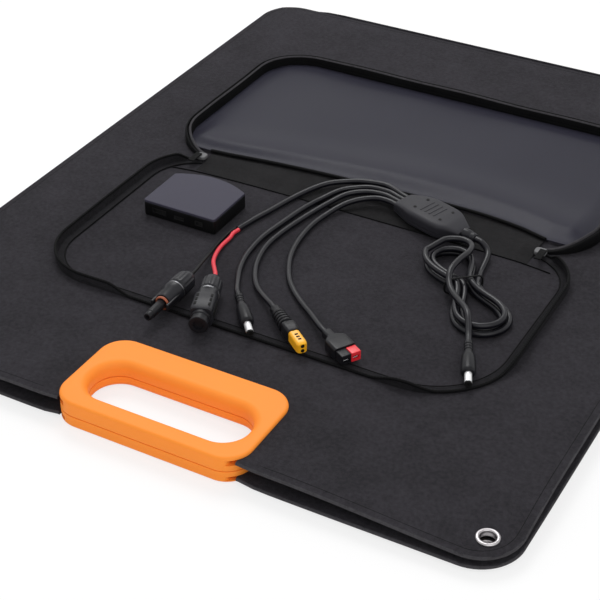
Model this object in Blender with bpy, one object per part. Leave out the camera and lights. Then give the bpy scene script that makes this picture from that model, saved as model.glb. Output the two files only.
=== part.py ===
"""A folding solar suitcase: two hinged panels, a carry handle, a zip pouch and a charging cable set.

Metres, +Z up. X runs along the handle edge, Y away from the handle, and the origin lies on the bottom
face of the lower cover, at the middle of the case.
"""
import math

import bmesh
import bpy
import numpy as np
from mathutils import Matrix, Vector

MM = 0.001

# Gap between pieces that rest on or fit in each other
FIT = 0.3 * MM

# Case halves
CASE_WIDTH = 532 * MM
CASE_DEPTH = 655 * MM
CASE_CORNER_R = 39 * MM
COVER_T = 3 * MM
BOARD_T = 3 * MM
LAMINATE_T = 2 * MM
PANEL_GAP = 1.8 * MM
BOARD_SIDE_INSET = 16 * MM
BOARD_BACK_INSET = 14 * MM
BOARD_CORNER_R = 12 * MM
BOARD_HANDLE_GAP = 11 * MM
LAMINATE_INSET = 4 * MM
SPINE_T = 1.6 * MM
SPINE_SIDE_INSET = 42 * MM

# Carry handle, one pair of shells on each half
HANDLE_WIDTH = 154 * MM
HANDLE_FRONT_REACH = 4.2 * MM
HANDLE_BACK_REACH = 79.2 * MM
HANDLE_CORNER_R = 20 * MM
HANDLE_LIP_T = 2.2 * MM
HANDLE_FLANGE = 6 * MM
SLOT_WIDTH = 128 * MM
SLOT_DEPTH = 40 * MM
SLOT_FRONT_BAR = 16.5 * MM
SLOT_CORNER_R = 19 * MM

# Eyelets at the front corners
EYELET_INSET = 21.5 * MM
EYELET_OD = 16.5 * MM
EYELET_ID = 10.9 * MM
EYELET_BARREL_T = 0.7 * MM
EYELET_FLANGE_T = 1.0 * MM
EYELET_WASHER_EXTRA = 2.5 * MM

# Zip pouch on the upper cover
POUCH_X = -2 * MM
POUCH_WIDTH = 394 * MM
POUCH_SEAM_Y = 7.5 * MM
RIM_LEFT_INSET = 10 * MM
RIM_RIGHT_INSET = 1 * MM
RIM_FRONT_Y = -204 * MM
RIM_RADII = (66 * MM, 48 * MM, 48 * MM, 50 * MM)
RIM_STEP = 13 * MM
ZIP_RIM_W = 8 * MM
ZIP_FLANGE_T = 0.9 * MM
ZIP_RIM_T = 1.5 * MM
ZIP_WALL_T = 1.8 * MM
ZIP_WALL_H = 9 * MM
BACK_STRIP_DEPTH = 25.5 * MM
BACK_STRIP_INSET = 44 * MM
BACK_STRIP_T = 1.2 * MM
LID_DEPTH = 180 * MM
LID_FAR_R = 48 * MM
LID_HINGE_R = 20 * MM
LID_PANEL_T = 1.5 * MM
LID_WALL_T = 6 * MM
LID_WALL_H = 10.9 * MM
LID_LINING_T = 0.8 * MM
SLIDER_INSET = 37 * MM
SLIDER_SIZE = (8 * MM, 8 * MM, 3 * MM)
PULL_SIZE = (6 * MM, 15 * MM, 1.2 * MM)

# Places where the zip tape is pressed down under the connectors (x0, x1, y0, y1)
PRESSED_SPOTS = [(-94 * MM, 108 * MM, -220 * MM, -188 * MM), (158 * MM, 186 * MM, -196 * MM, -160 * MM)]
PRESSED_FADE = 24 * MM

# Tape pressed down at the sliders: to the pouch's side, to its middle, and before and behind the seam
PRESSED_END_OUT = 10 * MM
PRESSED_LEFT_IN = 24 * MM
PRESSED_RIGHT_IN = 16 * MM
PRESSED_END_FRONT = 15.5 * MM
PRESSED_END_BACK = 4.5 * MM

# Controller box in the pouch
BOX_X = -119.5 * MM
BOX_FRONT_Y = -96 * MM
BOX_WIDTH = 68 * MM
BOX_SIDE_DEPTH = 48.5 * MM
BOX_MIDDLE_DEPTH = 58 * MM
BOX_HEIGHT = 12.2 * MM
BOX_WALL = 1.8 * MM
BOX_LID_T = 2.2 * MM
PCB_T = 1.6 * MM
PORT_DEPTH = 9 * MM
USB_A_SIZE = (13.2 * MM, 4.6 * MM)
USB_C_SIZE = (9 * MM, 3.2 * MM)
DC_JACK_SIZE = (7 * MM, 4.4 * MM)
PORT_STEP = 19 * MM
PORT_RECESS = 2 * MM
PORT_WALL = 0.7 * MM

# Splitter block of the cable set
SPLIT_X = 62.3 * MM
SPLIT_Y = 2.0 * MM
SPLIT_YAW = math.radians(-18.2)
SPLIT_LENGTH = 68 * MM
SPLIT_WIDTH = 34 * MM
SPLIT_FAN_END = 22 * MM
SPLIT_TRUNK_END = 15 * MM
SPLIT_SHOULDERS = (-0.17, 0.22)
SPLIT_CORNER_R = 5 * MM
SPLIT_LOWER_H = 5.9 * MM
SPLIT_HEIGHT = 14.4 * MM
SPLIT_TOP_INSET = 3.2 * MM
RELIEF_LENGTH = 12 * MM
RELIEF_RADII = (4.6 * MM, 3.4 * MM)

# Cords of the cable set
BRANCH_D = 4.6 * MM
BRANCH_PITCH = 4.95 * MM
BRANCH_EXIT_Z = 6.2 * MM
TRUNK_D = 5.0 * MM
TRUNK_EXIT_Z = 7.5 * MM
RED_D = 3.4 * MM
BLACK_D = 2.4 * MM
ROUTE_STEP = 2.4
STRAIGHT_END = 6 * MM

# Hank of the trunk cord: lobes above and below a tied waist
HANK_WAIST = (122.5 * MM, -69 * MM)
HANK_YAW = math.radians(-48.2)
HANK_LOWER = 52 * MM
HANK_UPPER = 43 * MM
HANK_WAIST_HALF = 4.4 * MM
HANK_LOBE = 30 * MM
HANK_TURNS = 3
HANK_PITCH = 6.4 * MM
HANK_LAYER = 5.6 * MM
HANK_WAIST_LIFT = 2.2 * MM
HANK_LIFT_SPAN = 11 * MM
LOOP_POINT_COUNT = 26
TIE_D = 1.5 * MM

# Turned connectors, along their own axis from the cord end
NUT_LENGTH = 19 * MM
NUT_R = 8.6 * MM
MALE_BODY_LENGTH = 19 * MM
MALE_TUBE_LENGTH = 22 * MM
MALE_TUBE_R = 3.8 * MM
MALE_TUBE_BORE = 1.7 * MM
SEAL_LENGTH = 2.2 * MM
SEAL_R = 6.2 * MM
MALE_BODY_R = 8.2 * MM
FEMALE_BODY_LENGTH = 31 * MM
FEMALE_BODY_HALF = 8.4 * MM
FEMALE_NOSE_LENGTH = 10.5 * MM
FEMALE_NOSE_R = 7.4 * MM
FEMALE_NOSE_BORE = 4.2 * MM
FEMALE_NOSE_RECESS = 3 * MM
PLUG_BODY_LENGTH = 37 * MM
PLUG_BODY_R = 5.5 * MM
PLUG_NECK_R = 3.3 * MM
PLUG_RIB_COUNT = 3
PLUG_RIB_STEP = 3.2 * MM
PLUG_BARREL_LENGTH = 12 * MM
PLUG_BARREL_R = 2.75 * MM
PLUG_BORE_R = 1.25 * MM
BOOT_LENGTH = 24 * MM
BOOT_R = 6.2 * MM
BOOT_NECK_R = 4.2 * MM
BOOT_RIB_COUNT = 5
BATTERY_LENGTH = 29 * MM
BATTERY_WIDTH = 10.4 * MM
BATTERY_HEIGHT = 12.4 * MM
SHROUD_LENGTH = 27 * MM
SHROUD_WIDTH = 18 * MM
SHROUD_HEIGHT = 10.6 * MM
SHROUD_NECK = 7.4 * MM
POLE_SIZE = 7.9 * MM
POLE_LENGTH = 8.5 * MM
POLE_WALL = 1.1 * MM
POLE_RECESS = 3 * MM

# Heights of the stack, from the table up
LOW_BOARD_Z = COVER_T + FIT
LOW_LAMINATE_Z = LOW_BOARD_Z + BOARD_T + FIT
MID_Z = LOW_LAMINATE_Z + LAMINATE_T + PANEL_GAP / 2
TOP_Z = 2 * MID_Z
RIM_TOP_Z = TOP_Z + FIT + ZIP_RIM_T
LAID_Z = RIM_TOP_Z + FIT
ZIP_WALL_Z = TOP_Z + FIT + ZIP_WALL_H

# Lines across the case
FRONT_Y = -CASE_DEPTH / 2
BACK_Y = CASE_DEPTH / 2
HANDLE_FRONT_Y = FRONT_Y - HANDLE_FRONT_REACH
HANDLE_BACK_Y = FRONT_Y + HANDLE_BACK_REACH
SLOT_FRONT_Y = HANDLE_FRONT_Y + SLOT_FRONT_BAR
FOLD_Y = BACK_Y + FIT + SPINE_T + FIT
RIM_LEFT_X = POUCH_X - POUCH_WIDTH / 2 + RIM_LEFT_INSET
RIM_RIGHT_X = POUCH_X + POUCH_WIDTH / 2 - RIM_RIGHT_INSET
LID_EDGE_Y = POUCH_SEAM_Y + BACK_STRIP_DEPTH
LID_FAR_Y = LID_EDGE_Y + LID_DEPTH
LID_RIM_Z = TOP_Z + FIT + LID_PANEL_T + FIT + LID_WALL_H
LID_AXIS_Y = (RIM_FRONT_Y + LID_FAR_Y) / 2
LID_AXIS_Z = (LID_RIM_Z + ZIP_WALL_Z + FIT) / 2

# Where the connectors lie on the pouch: cord end (X, Y) and heading in degrees
MALE_AT = (-62.7 * MM, -169 * MM, -88.5)
FEMALE_AT = (-44.6 * MM, -163 * MM, -69.3)
CHARGE_PLUG_AT = (-19 * MM, -169.4 * MM, -49.2)
BATTERY_AT = (13.9 * MM, -172.2 * MM, -38.1)
POLE_AT = (60.6 * MM, -178.8 * MM, -31)
TRUNK_PLUG_AT = (156.8 * MM, -140.1 * MM, -66.4)

# Cord routes in millimetres: X, Y and the height of the cord's middle over the upper cover
ROUTE_1 = [(15.2, 27.0, 8.3), (4, 30, 8.2), (-14.3, 27.9, 7.0), (-27, 23.2, 5.8), (-39.9, 13.6, 5.2),
           (-49.3, 0.5, 3.7), (-57.2, -19.5, 2.6), (-63, -43.6, 2.6), (-68, -62.3, 2.6), (-72.1, -81.8, 2.6)]
ROUTE_2 = [(13.5, 21.1, 8.3), (-3, 22.4, 7.0), (-15.3, 17.8, 5.8), (-26.1, 8.5, 4.9), (-34.9, -8.1, 2.9),
           (-41, -29.1, 2.6), (-45.4, -57.6, 2.6), (-48.4, -83.5, 2.6), (-46.8, -108.4, 2.6),
           (-41.8, -128.5, 2.6), (-33.2, -147, 3.6)]
ROUTE_3 = [(11.5, 15.2, 8.3), (-4.4, 13.9, 7.0), (-17.5, 4.5, 5.8), (-25.8, -12.9, 3.9), (-32.9, -37.2, 2.6),
           (-37.9, -66.8, 2.6), (-39.1, -91.4, 2.6), (-35.1, -112.4, 2.6), (-28.2, -129.2, 2.6),
           (-18.5, -143.9, 2.8), (-7.7, -154.4, 4.2)]
ROUTE_4 = [(9.6, 7.4, 8.3), (-2.9, 1.4, 6.8), (-12.2, -9.1, 5.2), (-18.7, -26.2, 3.4), (-22.2, -48.1, 2.6),
           (-20.6, -72.5, 2.6), (-15.9, -93.4, 2.6), (-8.8, -110.2, 2.6), (0.4, -125.5, 2.6),
           (11, -137.4, 2.6), (23.5, -148.4, 2.9), (38.2, -160.2, 4.2)]
RED_ROUTE = [(-71.0, -96, 2.4), (-70.4, -109.6, 2.8), (-67.2, -123, 4.2), (-60.6, -138, 6.6)]
BLACK_ROUTE = [(-75.9, -96, 1.8), (-75.0, -109.6, 2.2), (-72.0, -124, 3.8), (-68.0, -142, 6.8)]
LEAD_ROUTE = [(112.5, -12.2, 7.6), (120.2, -22.5, 4.9)]
TAIL_ROUTE = [(158.4, -85.1, 14.6), (156.2, -100.6, 14.5), (151.2, -113.1, 14.4), (148.6, -123.5, 13.4),
              (150.4, -129.6, 10.2)]


def clear_scene():
    for item in list(bpy.data.objects):
        bpy.data.objects.remove(item, do_unlink=True)


def make_material(name, colour, roughness, metallic=0.0):
    material = bpy.data.materials.new(name)
    material.use_nodes = True
    shader = material.node_tree.nodes["Principled BSDF"]
    shader.inputs["Base Color"].default_value = (*colour, 1.0)
    shader.inputs["Roughness"].default_value = roughness
    shader.inputs["Metallic"].default_value = metallic
    material.diffuse_color = (*colour, 1.0)
    return material


def make_pivot(name, location, yaw=0.0, parent=None):
    """An empty on a joint's axis, or at a connector's cord end."""
    pivot = bpy.data.objects.new(name, None)
    pivot.location = location
    pivot.rotation_euler = (0, 0, yaw)
    bpy.context.collection.objects.link(pivot)
    if parent is not None:
        pivot.parent = parent
        pivot.matrix_parent_inverse = Matrix.Translation(-parent.location)
    return pivot


def add_node(name, data, material, parent=None, local=False):
    """Link a mesh or curve; local data keeps its parent's frame, other data is in the world frame."""
    item = bpy.data.objects.new(name, data)
    data.materials.append(material)
    bpy.context.collection.objects.link(item)
    if parent is not None:
        item.parent = parent
        if not local:
            item.matrix_parent_inverse = Matrix.Translation(-parent.location)
    return item


def mesh_from(bm, smooth_angle=None):
    bmesh.ops.recalc_face_normals(bm, faces=bm.faces)
    mesh = bpy.data.meshes.new("mesh")
    bm.to_mesh(mesh)
    bm.free()
    if smooth_angle is not None:
        mesh.shade_smooth()
        mesh.set_sharp_from_angle(angle=math.radians(smooth_angle))
    return mesh


def rounded_rect(x0, x1, y0, y1, radii, steps=6):
    """Outline of a rectangle, anticlockwise, with its four corner radii from the front right one on."""
    corners = [((x1, y0), -90), ((x1, y1), 0), ((x0, y1), 90), ((x0, y0), 180)]
    signs = [(-1, 1), (-1, -1), (1, -1), (1, 1)]
    points = []
    for (corner, start), sign, radius in zip(corners, signs, radii):
        centre = (corner[0] + sign[0] * radius, corner[1] + sign[1] * radius)
        for step in range(steps + 1):
            angle = math.radians(start + 90 * step / steps)
            points.append((centre[0] + radius * math.cos(angle), centre[1] + radius * math.sin(angle)))
    return points


def circle(x, y, radius, steps=24):
    angles = [2 * math.pi * step / steps for step in range(steps)]
    return [(x + radius * math.cos(angle), y + radius * math.sin(angle)) for angle in angles]


def rounded_polygon(points, radius, steps=4):
    """Convex outline whose corners are drawn as curves that start one radius before each corner."""
    outline = []
    for index, corner in enumerate(points):
        corner = Vector(corner)
        before = (Vector(points[index - 1]) - corner).normalized() * radius
        after = (Vector(points[(index + 1) % len(points)]) - corner).normalized() * radius
        for step in range(steps + 1):
            share = step / steps
            point = corner + before * (1 - share) ** 2 + after * share ** 2
            outline.append((point.x, point.y))
    return outline


def plate_mesh(outer, holes, z0, z1):
    """A flat plate between two heights, with through holes."""
    bm = bmesh.new()
    edges = []
    for loop in [outer, *holes]:
        verts = [bm.verts.new((x, y, z0)) for x, y in loop]
        for index, vert in enumerate(verts):
            edges.append(bm.edges.new((vert, verts[(index + 1) % len(verts)])))
    bmesh.ops.triangle_fill(bm, edges=edges, use_beauty=True)
    grown = bmesh.ops.extrude_face_region(bm, geom=bm.faces[:])
    raised = [item for item in grown["geom"] if isinstance(item, bmesh.types.BMVert)]
    bmesh.ops.translate(bm, verts=raised, vec=(0, 0, z1 - z0))
    return mesh_from(bm, 35)


def skin_mesh(rings, smooth_angle=35):
    """A solid through rings that have the same number of points, closed at both ends."""
    bm = bmesh.new()
    loops = [[bm.verts.new(point) for point in ring] for ring in rings]
    count = len(rings[0])
    for low, high in zip(loops, loops[1:]):
        for index in range(count):
            after = (index + 1) % count
            bm.faces.new((low[index], low[after], high[after], high[index]))
    bm.faces.new(list(reversed(loops[0])))
    bm.faces.new(loops[-1])
    return mesh_from(bm, smooth_angle)


def turned_mesh(profile, steps=20, closed=False):
    """A solid turned about local X from (along, radius) points; a closed profile makes a ring."""
    bm = bmesh.new()
    rings = []
    for along, radius in profile:
        if radius == 0:
            rings.append([bm.verts.new((along, 0, 0))])
            continue
        angles = [2 * math.pi * step / steps for step in range(steps)]
        rings.append([bm.verts.new((along, radius * math.cos(a), radius * math.sin(a))) for a in angles])
    pairs = list(zip(rings, rings[1:]))
    if closed:
        pairs.append((rings[-1], rings[0]))
    for first, second in pairs:
        for step in range(steps):
            after = (step + 1) % steps
            if len(first) == 1:
                bm.faces.new((first[0], second[step], second[after]))
            elif len(second) == 1:
                bm.faces.new((first[step], second[0], first[after]))
            else:
                bm.faces.new((first[step], second[step], second[after], first[after]))
    return mesh_from(bm, 35)


def box_mesh(low, high):
    bm = bmesh.new()
    bmesh.ops.create_cube(bm, size=1.0)
    size = Vector(high) - Vector(low)
    centre = (Vector(high) + Vector(low)) / 2
    bmesh.ops.scale(bm, vec=size, verts=bm.verts)
    bmesh.ops.translate(bm, vec=centre, verts=bm.verts)
    return mesh_from(bm)


def cut(item, cutter_mesh):
    """Cut a solid out of a node, in the node's own frame, and keep the result as its mesh."""
    cutter = bpy.data.objects.new("cutter", cutter_mesh)
    cutter.hide_render = True
    cutter.display_type = "WIRE"
    bpy.context.collection.objects.link(cutter)
    bpy.context.view_layer.update()
    cutter.matrix_world = item.matrix_world
    modifier = item.modifiers.new("cut", "BOOLEAN")
    modifier.operation = "DIFFERENCE"
    modifier.object = cutter
    bpy.context.view_layer.update()
    graph = bpy.context.evaluated_depsgraph_get()
    result = bpy.data.meshes.new_from_object(item.evaluated_get(graph))
    item.modifiers.clear()
    item.data = result
    bpy.data.objects.remove(cutter, do_unlink=True)


def smooth_route(points, step):
    """Evenly spaced points on a smooth curve through a route's points, with a straight run at each end."""
    points = [Vector(point) for point in points]
    padded = [2 * points[0] - points[1], *points, 2 * points[-1] - points[-2]]
    dense = []
    for a, b, c, d in zip(padded, padded[1:], padded[2:], padded[3:]):
        for index in range(16):
            t = index / 16
            swing = (c - a) * t + (2 * a - 5 * b + 4 * c - d) * t ** 2 + (3 * b - a - 3 * c + d) * t ** 3
            dense.append(b + swing / 2)
    dense = dense[16:16 * (len(points) - 2) + 1]
    lengths = np.cumsum([0.0] + [(q - p).length for p, q in zip(dense, dense[1:])])
    count = max(4, round(lengths[-1] / step))
    places = np.linspace(0, lengths[-1], count + 1)
    array = np.array(dense)
    middle = [tuple(np.interp(place, lengths, array[:, axis]) for axis in range(3)) for place in places]
    return [tuple(points[0]), *middle, tuple(points[-1])]


def tube(name, points, diameter, material, parent, resolution=2):
    """A cord: a round tube with closed ends along its points."""
    curve = bpy.data.curves.new(name, "CURVE")
    curve.dimensions = "3D"
    curve.bevel_depth = diameter / 2
    curve.bevel_resolution = resolution
    curve.use_fill_caps = True
    spline = curve.splines.new("POLY")
    spline.points.add(len(points) - 1)
    for place, point in zip(spline.points, points):
        place.co = (*point, 1.0)
    return add_node(name, curve, material, parent)


def over_cover(route):
    """Route points in metres, from millimetres over the upper cover."""
    return [Vector((x * MM, y * MM, TOP_Z + z * MM)) for x, y, z in route]


def mirrored(z0, z1):
    """The same layer on the upper half."""
    return 2 * MID_Z - z1, 2 * MID_Z - z0


def case_outline(inset=0.0):
    half = CASE_WIDTH / 2 - inset
    radius = CASE_CORNER_R - inset
    return rounded_rect(-half, half, FRONT_Y + inset, BACK_Y - inset, [radius] * 4, 8)


def handle_outline(grow=0.0):
    half = HANDLE_WIDTH / 2 + grow
    radii = [HANDLE_CORNER_R + grow] * 4
    return rounded_rect(-half, half, HANDLE_FRONT_Y - grow, HANDLE_BACK_Y + grow, radii, 6)


def slot_outline(grow=0.0):
    half = SLOT_WIDTH / 2 + grow
    radii = [SLOT_CORNER_R + grow] * 4
    return rounded_rect(-half, half, SLOT_FRONT_Y - grow, SLOT_FRONT_Y + SLOT_DEPTH + grow, radii, 6)


def eyelet_places():
    return {"left": (-CASE_WIDTH / 2 + EYELET_INSET, FRONT_Y + EYELET_INSET),
            "right": (CASE_WIDTH / 2 - EYELET_INSET, FRONT_Y + EYELET_INSET)}


def make_half(side, materials, parent):
    """Cover, board, solar laminate and spine leaf of one half."""
    upper = side == "upper"
    flip = mirrored if upper else (lambda z0, z1: (z0, z1))
    barrel_hole = EYELET_ID / 2 + EYELET_BARREL_T + FIT
    hole_r = barrel_hole if upper else EYELET_OD / 2 + FIT
    holes = [circle(x, y, hole_r) for x, y in eyelet_places().values()]
    if upper:
        holes.append(slot_outline())
    cover = add_node(side + "_cover", plate_mesh(case_outline(), holes, *flip(0, COVER_T)),
                     materials["cover_fabric"], parent)
    if not upper:
        cut(cover, plate_mesh(handle_outline(FIT), [], -COVER_T, 2 * COVER_T))

    half = CASE_WIDTH / 2 - BOARD_SIDE_INSET
    front = HANDLE_BACK_Y + BOARD_HANDLE_GAP
    back = BACK_Y - BOARD_BACK_INSET
    board = rounded_rect(-half, half, front, back, [BOARD_CORNER_R] * 4, 4)
    add_node(side + "_core_board", plate_mesh(board, [], *flip(LOW_BOARD_Z, LOW_BOARD_Z + BOARD_T)),
             materials["core_board"], parent)
    inner = half - LAMINATE_INSET
    laminate = rounded_rect(-inner, inner, front + LAMINATE_INSET, back - LAMINATE_INSET,
                            [BOARD_CORNER_R - LAMINATE_INSET] * 4, 4)
    layer = flip(LOW_LAMINATE_Z, LOW_LAMINATE_Z + LAMINATE_T)
    add_node(side + "_solar_laminate", plate_mesh(laminate, [], *layer), materials["solar_cells"], parent)

    reach = CASE_WIDTH / 2 - SPINE_SIDE_INSET
    z0, z1 = flip(0, MID_Z - FIT)
    leaf = box_mesh((-reach, BACK_Y + FIT, z0), (reach, BACK_Y + FIT + SPINE_T, z1))
    add_node(side + "_spine_leaf", leaf, materials["binding"], parent)


def make_handle(side, materials, parent):
    """Outer and inner handle shells of one half, which hold the cover's front edge between them."""
    upper = side == "upper"
    if upper:
        z0, z1 = MID_Z + FIT, TOP_Z + FIT + HANDLE_LIP_T
        lip = (z0 - COVER_T, TOP_Z + FIT)
        inner_z = (MID_Z + FIT, TOP_Z - COVER_T - FIT)
        inner_outline = handle_outline()
    else:
        z0, z1 = 0.0, MID_Z - FIT
        lip = (COVER_T, z1 + COVER_T)
        inner_z = (COVER_T + FIT, MID_Z - FIT)
        inner_outline = handle_outline(HANDLE_FLANGE)
    outer = add_node(side + "_handle_outer", plate_mesh(handle_outline(), [slot_outline()], z0, z1),
                     materials["handle"], parent)
    room = HANDLE_WIDTH
    cut(outer, box_mesh((-room, FRONT_Y - FIT, lip[0]), (room, HANDLE_BACK_Y + room, lip[1])))
    inner = add_node(side + "_handle_inner", plate_mesh(inner_outline, [slot_outline()], *inner_z),
                     materials["handle"], parent)
    cut(inner, box_mesh((-room, HANDLE_FRONT_Y - room, inner_z[0] - COVER_T),
                        (room, FRONT_Y, inner_z[1] + COVER_T)))


def make_eyelets(side, materials, parent):
    """Pressed metal rings; the lower ones sit flush, so that the case lies flat."""
    inner = EYELET_ID / 2
    barrel = inner + EYELET_BARREL_T
    flange = EYELET_OD / 2
    for place, (x, y) in eyelet_places().items():
        if side == "upper":
            face, back = TOP_Z + FIT, TOP_Z - COVER_T - FIT
            outer_r, inner_r = flange, flange + EYELET_WASHER_EXTRA
            profile = [(face + EYELET_FLANGE_T, inner), (face + EYELET_FLANGE_T, outer_r), (face, outer_r),
                       (face, barrel), (back, barrel), (back, inner_r), (back - EYELET_FLANGE_T, inner_r),
                       (back - EYELET_FLANGE_T, inner)]
        else:
            face, back = EYELET_FLANGE_T, COVER_T + FIT
            outer_r, inner_r = flange, flange + EYELET_WASHER_EXTRA
            profile = [(back + EYELET_FLANGE_T, inner), (back + EYELET_FLANGE_T, inner_r), (back, inner_r),
                       (back, barrel), (face, barrel), (face, outer_r), (0, outer_r), (0, inner)]
        mesh = turned_mesh(profile, 24, closed=True)
        mesh.transform(Matrix.Translation((x, y, 0)) @ Matrix.Rotation(-math.pi / 2, 4, "Y"))
        add_node(side + "_eyelet_" + place, mesh, materials["eyelet"], parent)


def pressed_ends():
    """Stretches of the zip tape that lie pressed down at the two sliders."""
    places = slider_places()
    left, right = places["left"][0], places["right"][0]
    y0, y1 = POUCH_SEAM_Y - PRESSED_END_FRONT, POUCH_SEAM_Y + PRESSED_END_BACK
    return [(left - PRESSED_END_OUT, left + PRESSED_LEFT_IN, y0, y1),
            (right - PRESSED_RIGHT_IN, right + PRESSED_END_OUT, y0, y1)]


def zip_wall_height(x, y):
    """Height of the standing zip tape, which lies pressed down under the cords and at the sliders."""
    share = 1.0
    for x0, x1, y0, y1 in PRESSED_SPOTS + pressed_ends():
        away = math.hypot(max(x0 - x, x - x1, 0), max(y0 - y, y - y1, 0))
        share = min(share, eased(away / PRESSED_FADE))
    return ZIP_RIM_T + (ZIP_WALL_H - ZIP_RIM_T) * share


def zip_rim_rings():
    """Sections of the zip rim along its outline: a sewn flange on the cover and the tape standing outside."""
    outline = rounded_rect(RIM_LEFT_X, RIM_RIGHT_X, RIM_FRONT_Y, POUCH_SEAM_Y, RIM_RADII, 8)
    half = len(outline) // 2
    corners = outline[half:] + outline[:half]
    path = [Vector(corners[0])]
    for point in corners[1:]:
        start = path[-1]
        run = Vector(point) - start
        count = max(1, math.ceil(run.length / RIM_STEP))
        path += [start + run * (step + 1) / count for step in range(count)]
    low = TOP_Z + FIT
    rings = []
    for index, place in enumerate(path):
        ahead = (path[min(index + 1, len(path) - 1)] - path[max(index - 1, 0)]).normalized()
        inward = Vector((-ahead.y, ahead.x))
        high = low + zip_wall_height(place.x, place.y)
        flange = low + ZIP_FLANGE_T
        section = [(0, low), (0, high), (ZIP_WALL_T, high), (ZIP_WALL_T, flange), (ZIP_RIM_W, flange),
                   (ZIP_RIM_W, low)]
        rings.append([(*(place + inward * offset), z) for offset, z in section])
    return rings


def make_pouch(materials, panel, lid_pivot):
    """Zip rim and back strip on the cover, and the lid tray that is folded back behind them."""
    x0, x1 = POUCH_X - POUCH_WIDTH / 2, POUCH_X + POUCH_WIDTH / 2
    add_node("pouch_zip_rim", skin_mesh(zip_rim_rings()), materials["zip_tape"], panel)
    strip = box_mesh((x0 + BACK_STRIP_INSET, POUCH_SEAM_Y + FIT, TOP_Z + FIT),
                     (x1 - BACK_STRIP_INSET, LID_EDGE_Y - FIT, TOP_Z + FIT + BACK_STRIP_T))
    add_node("pouch_back_strip", strip, materials["cover_fabric"], panel)

    floor_z = TOP_Z + FIT + LID_PANEL_T
    radii = [LID_HINGE_R, LID_FAR_R, LID_FAR_R, LID_HINGE_R]
    outline = rounded_rect(x0, x1, LID_EDGE_Y, LID_FAR_Y, radii, 8)
    add_node("pouch_lid_panel", plate_mesh(outline, [], TOP_Z + FIT, floor_z), materials["cover_fabric"],
             lid_pivot)
    w = LID_WALL_T
    start = LID_EDGE_Y + LID_HINGE_R
    outer = [p for p in outline if p[1] >= start - FIT]
    inside = rounded_rect(x0 + w, x1 - w, LID_EDGE_Y + w, LID_FAR_Y - w, [r - w for r in radii], 8)
    inner = [p for p in inside if p[1] >= start - FIT]
    wall = plate_mesh(outer + inner[::-1], [], floor_z + FIT, LID_RIM_Z)
    add_node("pouch_lid_wall", wall, materials["zip_tape"], lid_pivot)
    w = LID_WALL_T + FIT
    lining = rounded_rect(x0 + w, x1 - w, LID_EDGE_Y + w, LID_FAR_Y - w, [r - w for r in radii], 8)
    add_node("pouch_lid_lining", plate_mesh(lining, [], floor_z + FIT, floor_z + FIT + LID_LINING_T),
             materials["lining"], lid_pivot)


def slider_places():
    """Zip sliders at the two ends of the zip, with the height of their pull pins."""
    half = POUCH_WIDTH / 2 - SLIDER_INSET
    y = POUCH_SEAM_Y - ZIP_RIM_W / 2
    pin_z = LAID_Z + SLIDER_SIZE[2] + FIT + PULL_SIZE[2] / 2
    return {"left": (POUCH_X - half, y, pin_z), "right": (POUCH_X + half, y, pin_z)}


def make_zip_slider(place, materials, panel, pull_pivot):
    x, y, pin_z = pull_pivot.location
    half = Vector(SLIDER_SIZE) / 2
    slider = rounded_rect(x - half.x, x + half.x, y - half.y, y + half.y, [half.x / 2] * 4, 4)
    add_node("zip_slider_" + place, plate_mesh(slider, [], LAID_Z, LAID_Z + SLIDER_SIZE[2]),
             materials["zip_metal"], panel)
    half = Vector(PULL_SIZE) / 2
    pull = rounded_rect(x - half.x, x + half.x, y + half.z - PULL_SIZE[1], y + half.z, [half.x * 0.8] * 4, 4)
    add_node("zip_pull_" + place, plate_mesh(pull, [], pin_z - half.z, pin_z + half.z),
             materials["zip_metal"], pull_pivot)


def box_outline(inset=0.0):
    """Controller outline: straight front and sides, and a bowed back."""
    half = BOX_WIDTH / 2 - inset
    side = BOX_FRONT_Y + BOX_SIDE_DEPTH
    bow = BOX_MIDDLE_DEPTH - BOX_SIDE_DEPTH
    points = [(BOX_X - half, BOX_FRONT_Y + inset), (BOX_X + half, BOX_FRONT_Y + inset)]
    for step in range(9):
        across = 1 - 2 * step / 8
        points.append((BOX_X + across * half, side - inset + bow * (1 - across ** 2)))
    return points


def make_controller(materials, panel):
    """Case, circuit board and output sockets of the controller box fixed in the pouch."""
    base_z = TOP_Z + FIT
    rim_z = base_z + BOX_HEIGHT - BOX_LID_T - FIT
    base = add_node("controller_base", plate_mesh(box_outline(), [], base_z, rim_z),
                    materials["controller_black"], panel)
    floor_z = base_z + BOX_WALL
    cut(base, plate_mesh(box_outline(BOX_WALL), [], floor_z, rim_z + BOX_HEIGHT))
    add_node("controller_cover", plate_mesh(box_outline(), [], rim_z + FIT, base_z + BOX_HEIGHT),
             materials["controller_grey"], panel)
    board_z = floor_z + FIT
    board = plate_mesh(box_outline(BOX_WALL + FIT), [], board_z, board_z + PCB_T)
    add_node("controller_circuit_board", board, materials["circuit_board"], panel)
    port_z = board_z + PCB_T + FIT
    sockets = {"usb_a_socket": USB_A_SIZE, "usb_c_socket": USB_C_SIZE, "dc_output_socket": DC_JACK_SIZE}
    for index, (name, (width, height)) in enumerate(sockets.items()):
        x = BOX_X + (index - 1) * PORT_STEP
        low = Vector((x - width / 2, BOX_FRONT_Y, port_z))
        high = Vector((x + width / 2, BOX_FRONT_Y + PORT_DEPTH, port_z + height))
        gap = Vector((FIT, FIT, FIT))
        cut(base, box_mesh(low - gap - Vector((0, BOX_WALL, 0)), high + gap))
        socket = add_node(name, box_mesh(low, high), materials["socket_metal"], panel)
        wall = Vector((PORT_WALL, 0, PORT_WALL))
        mouth_high = Vector((high.x, low.y + PORT_RECESS, high.z)) - wall
        cut(socket, box_mesh(low + wall - Vector((0, PORT_RECESS, 0)), mouth_high))


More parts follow.
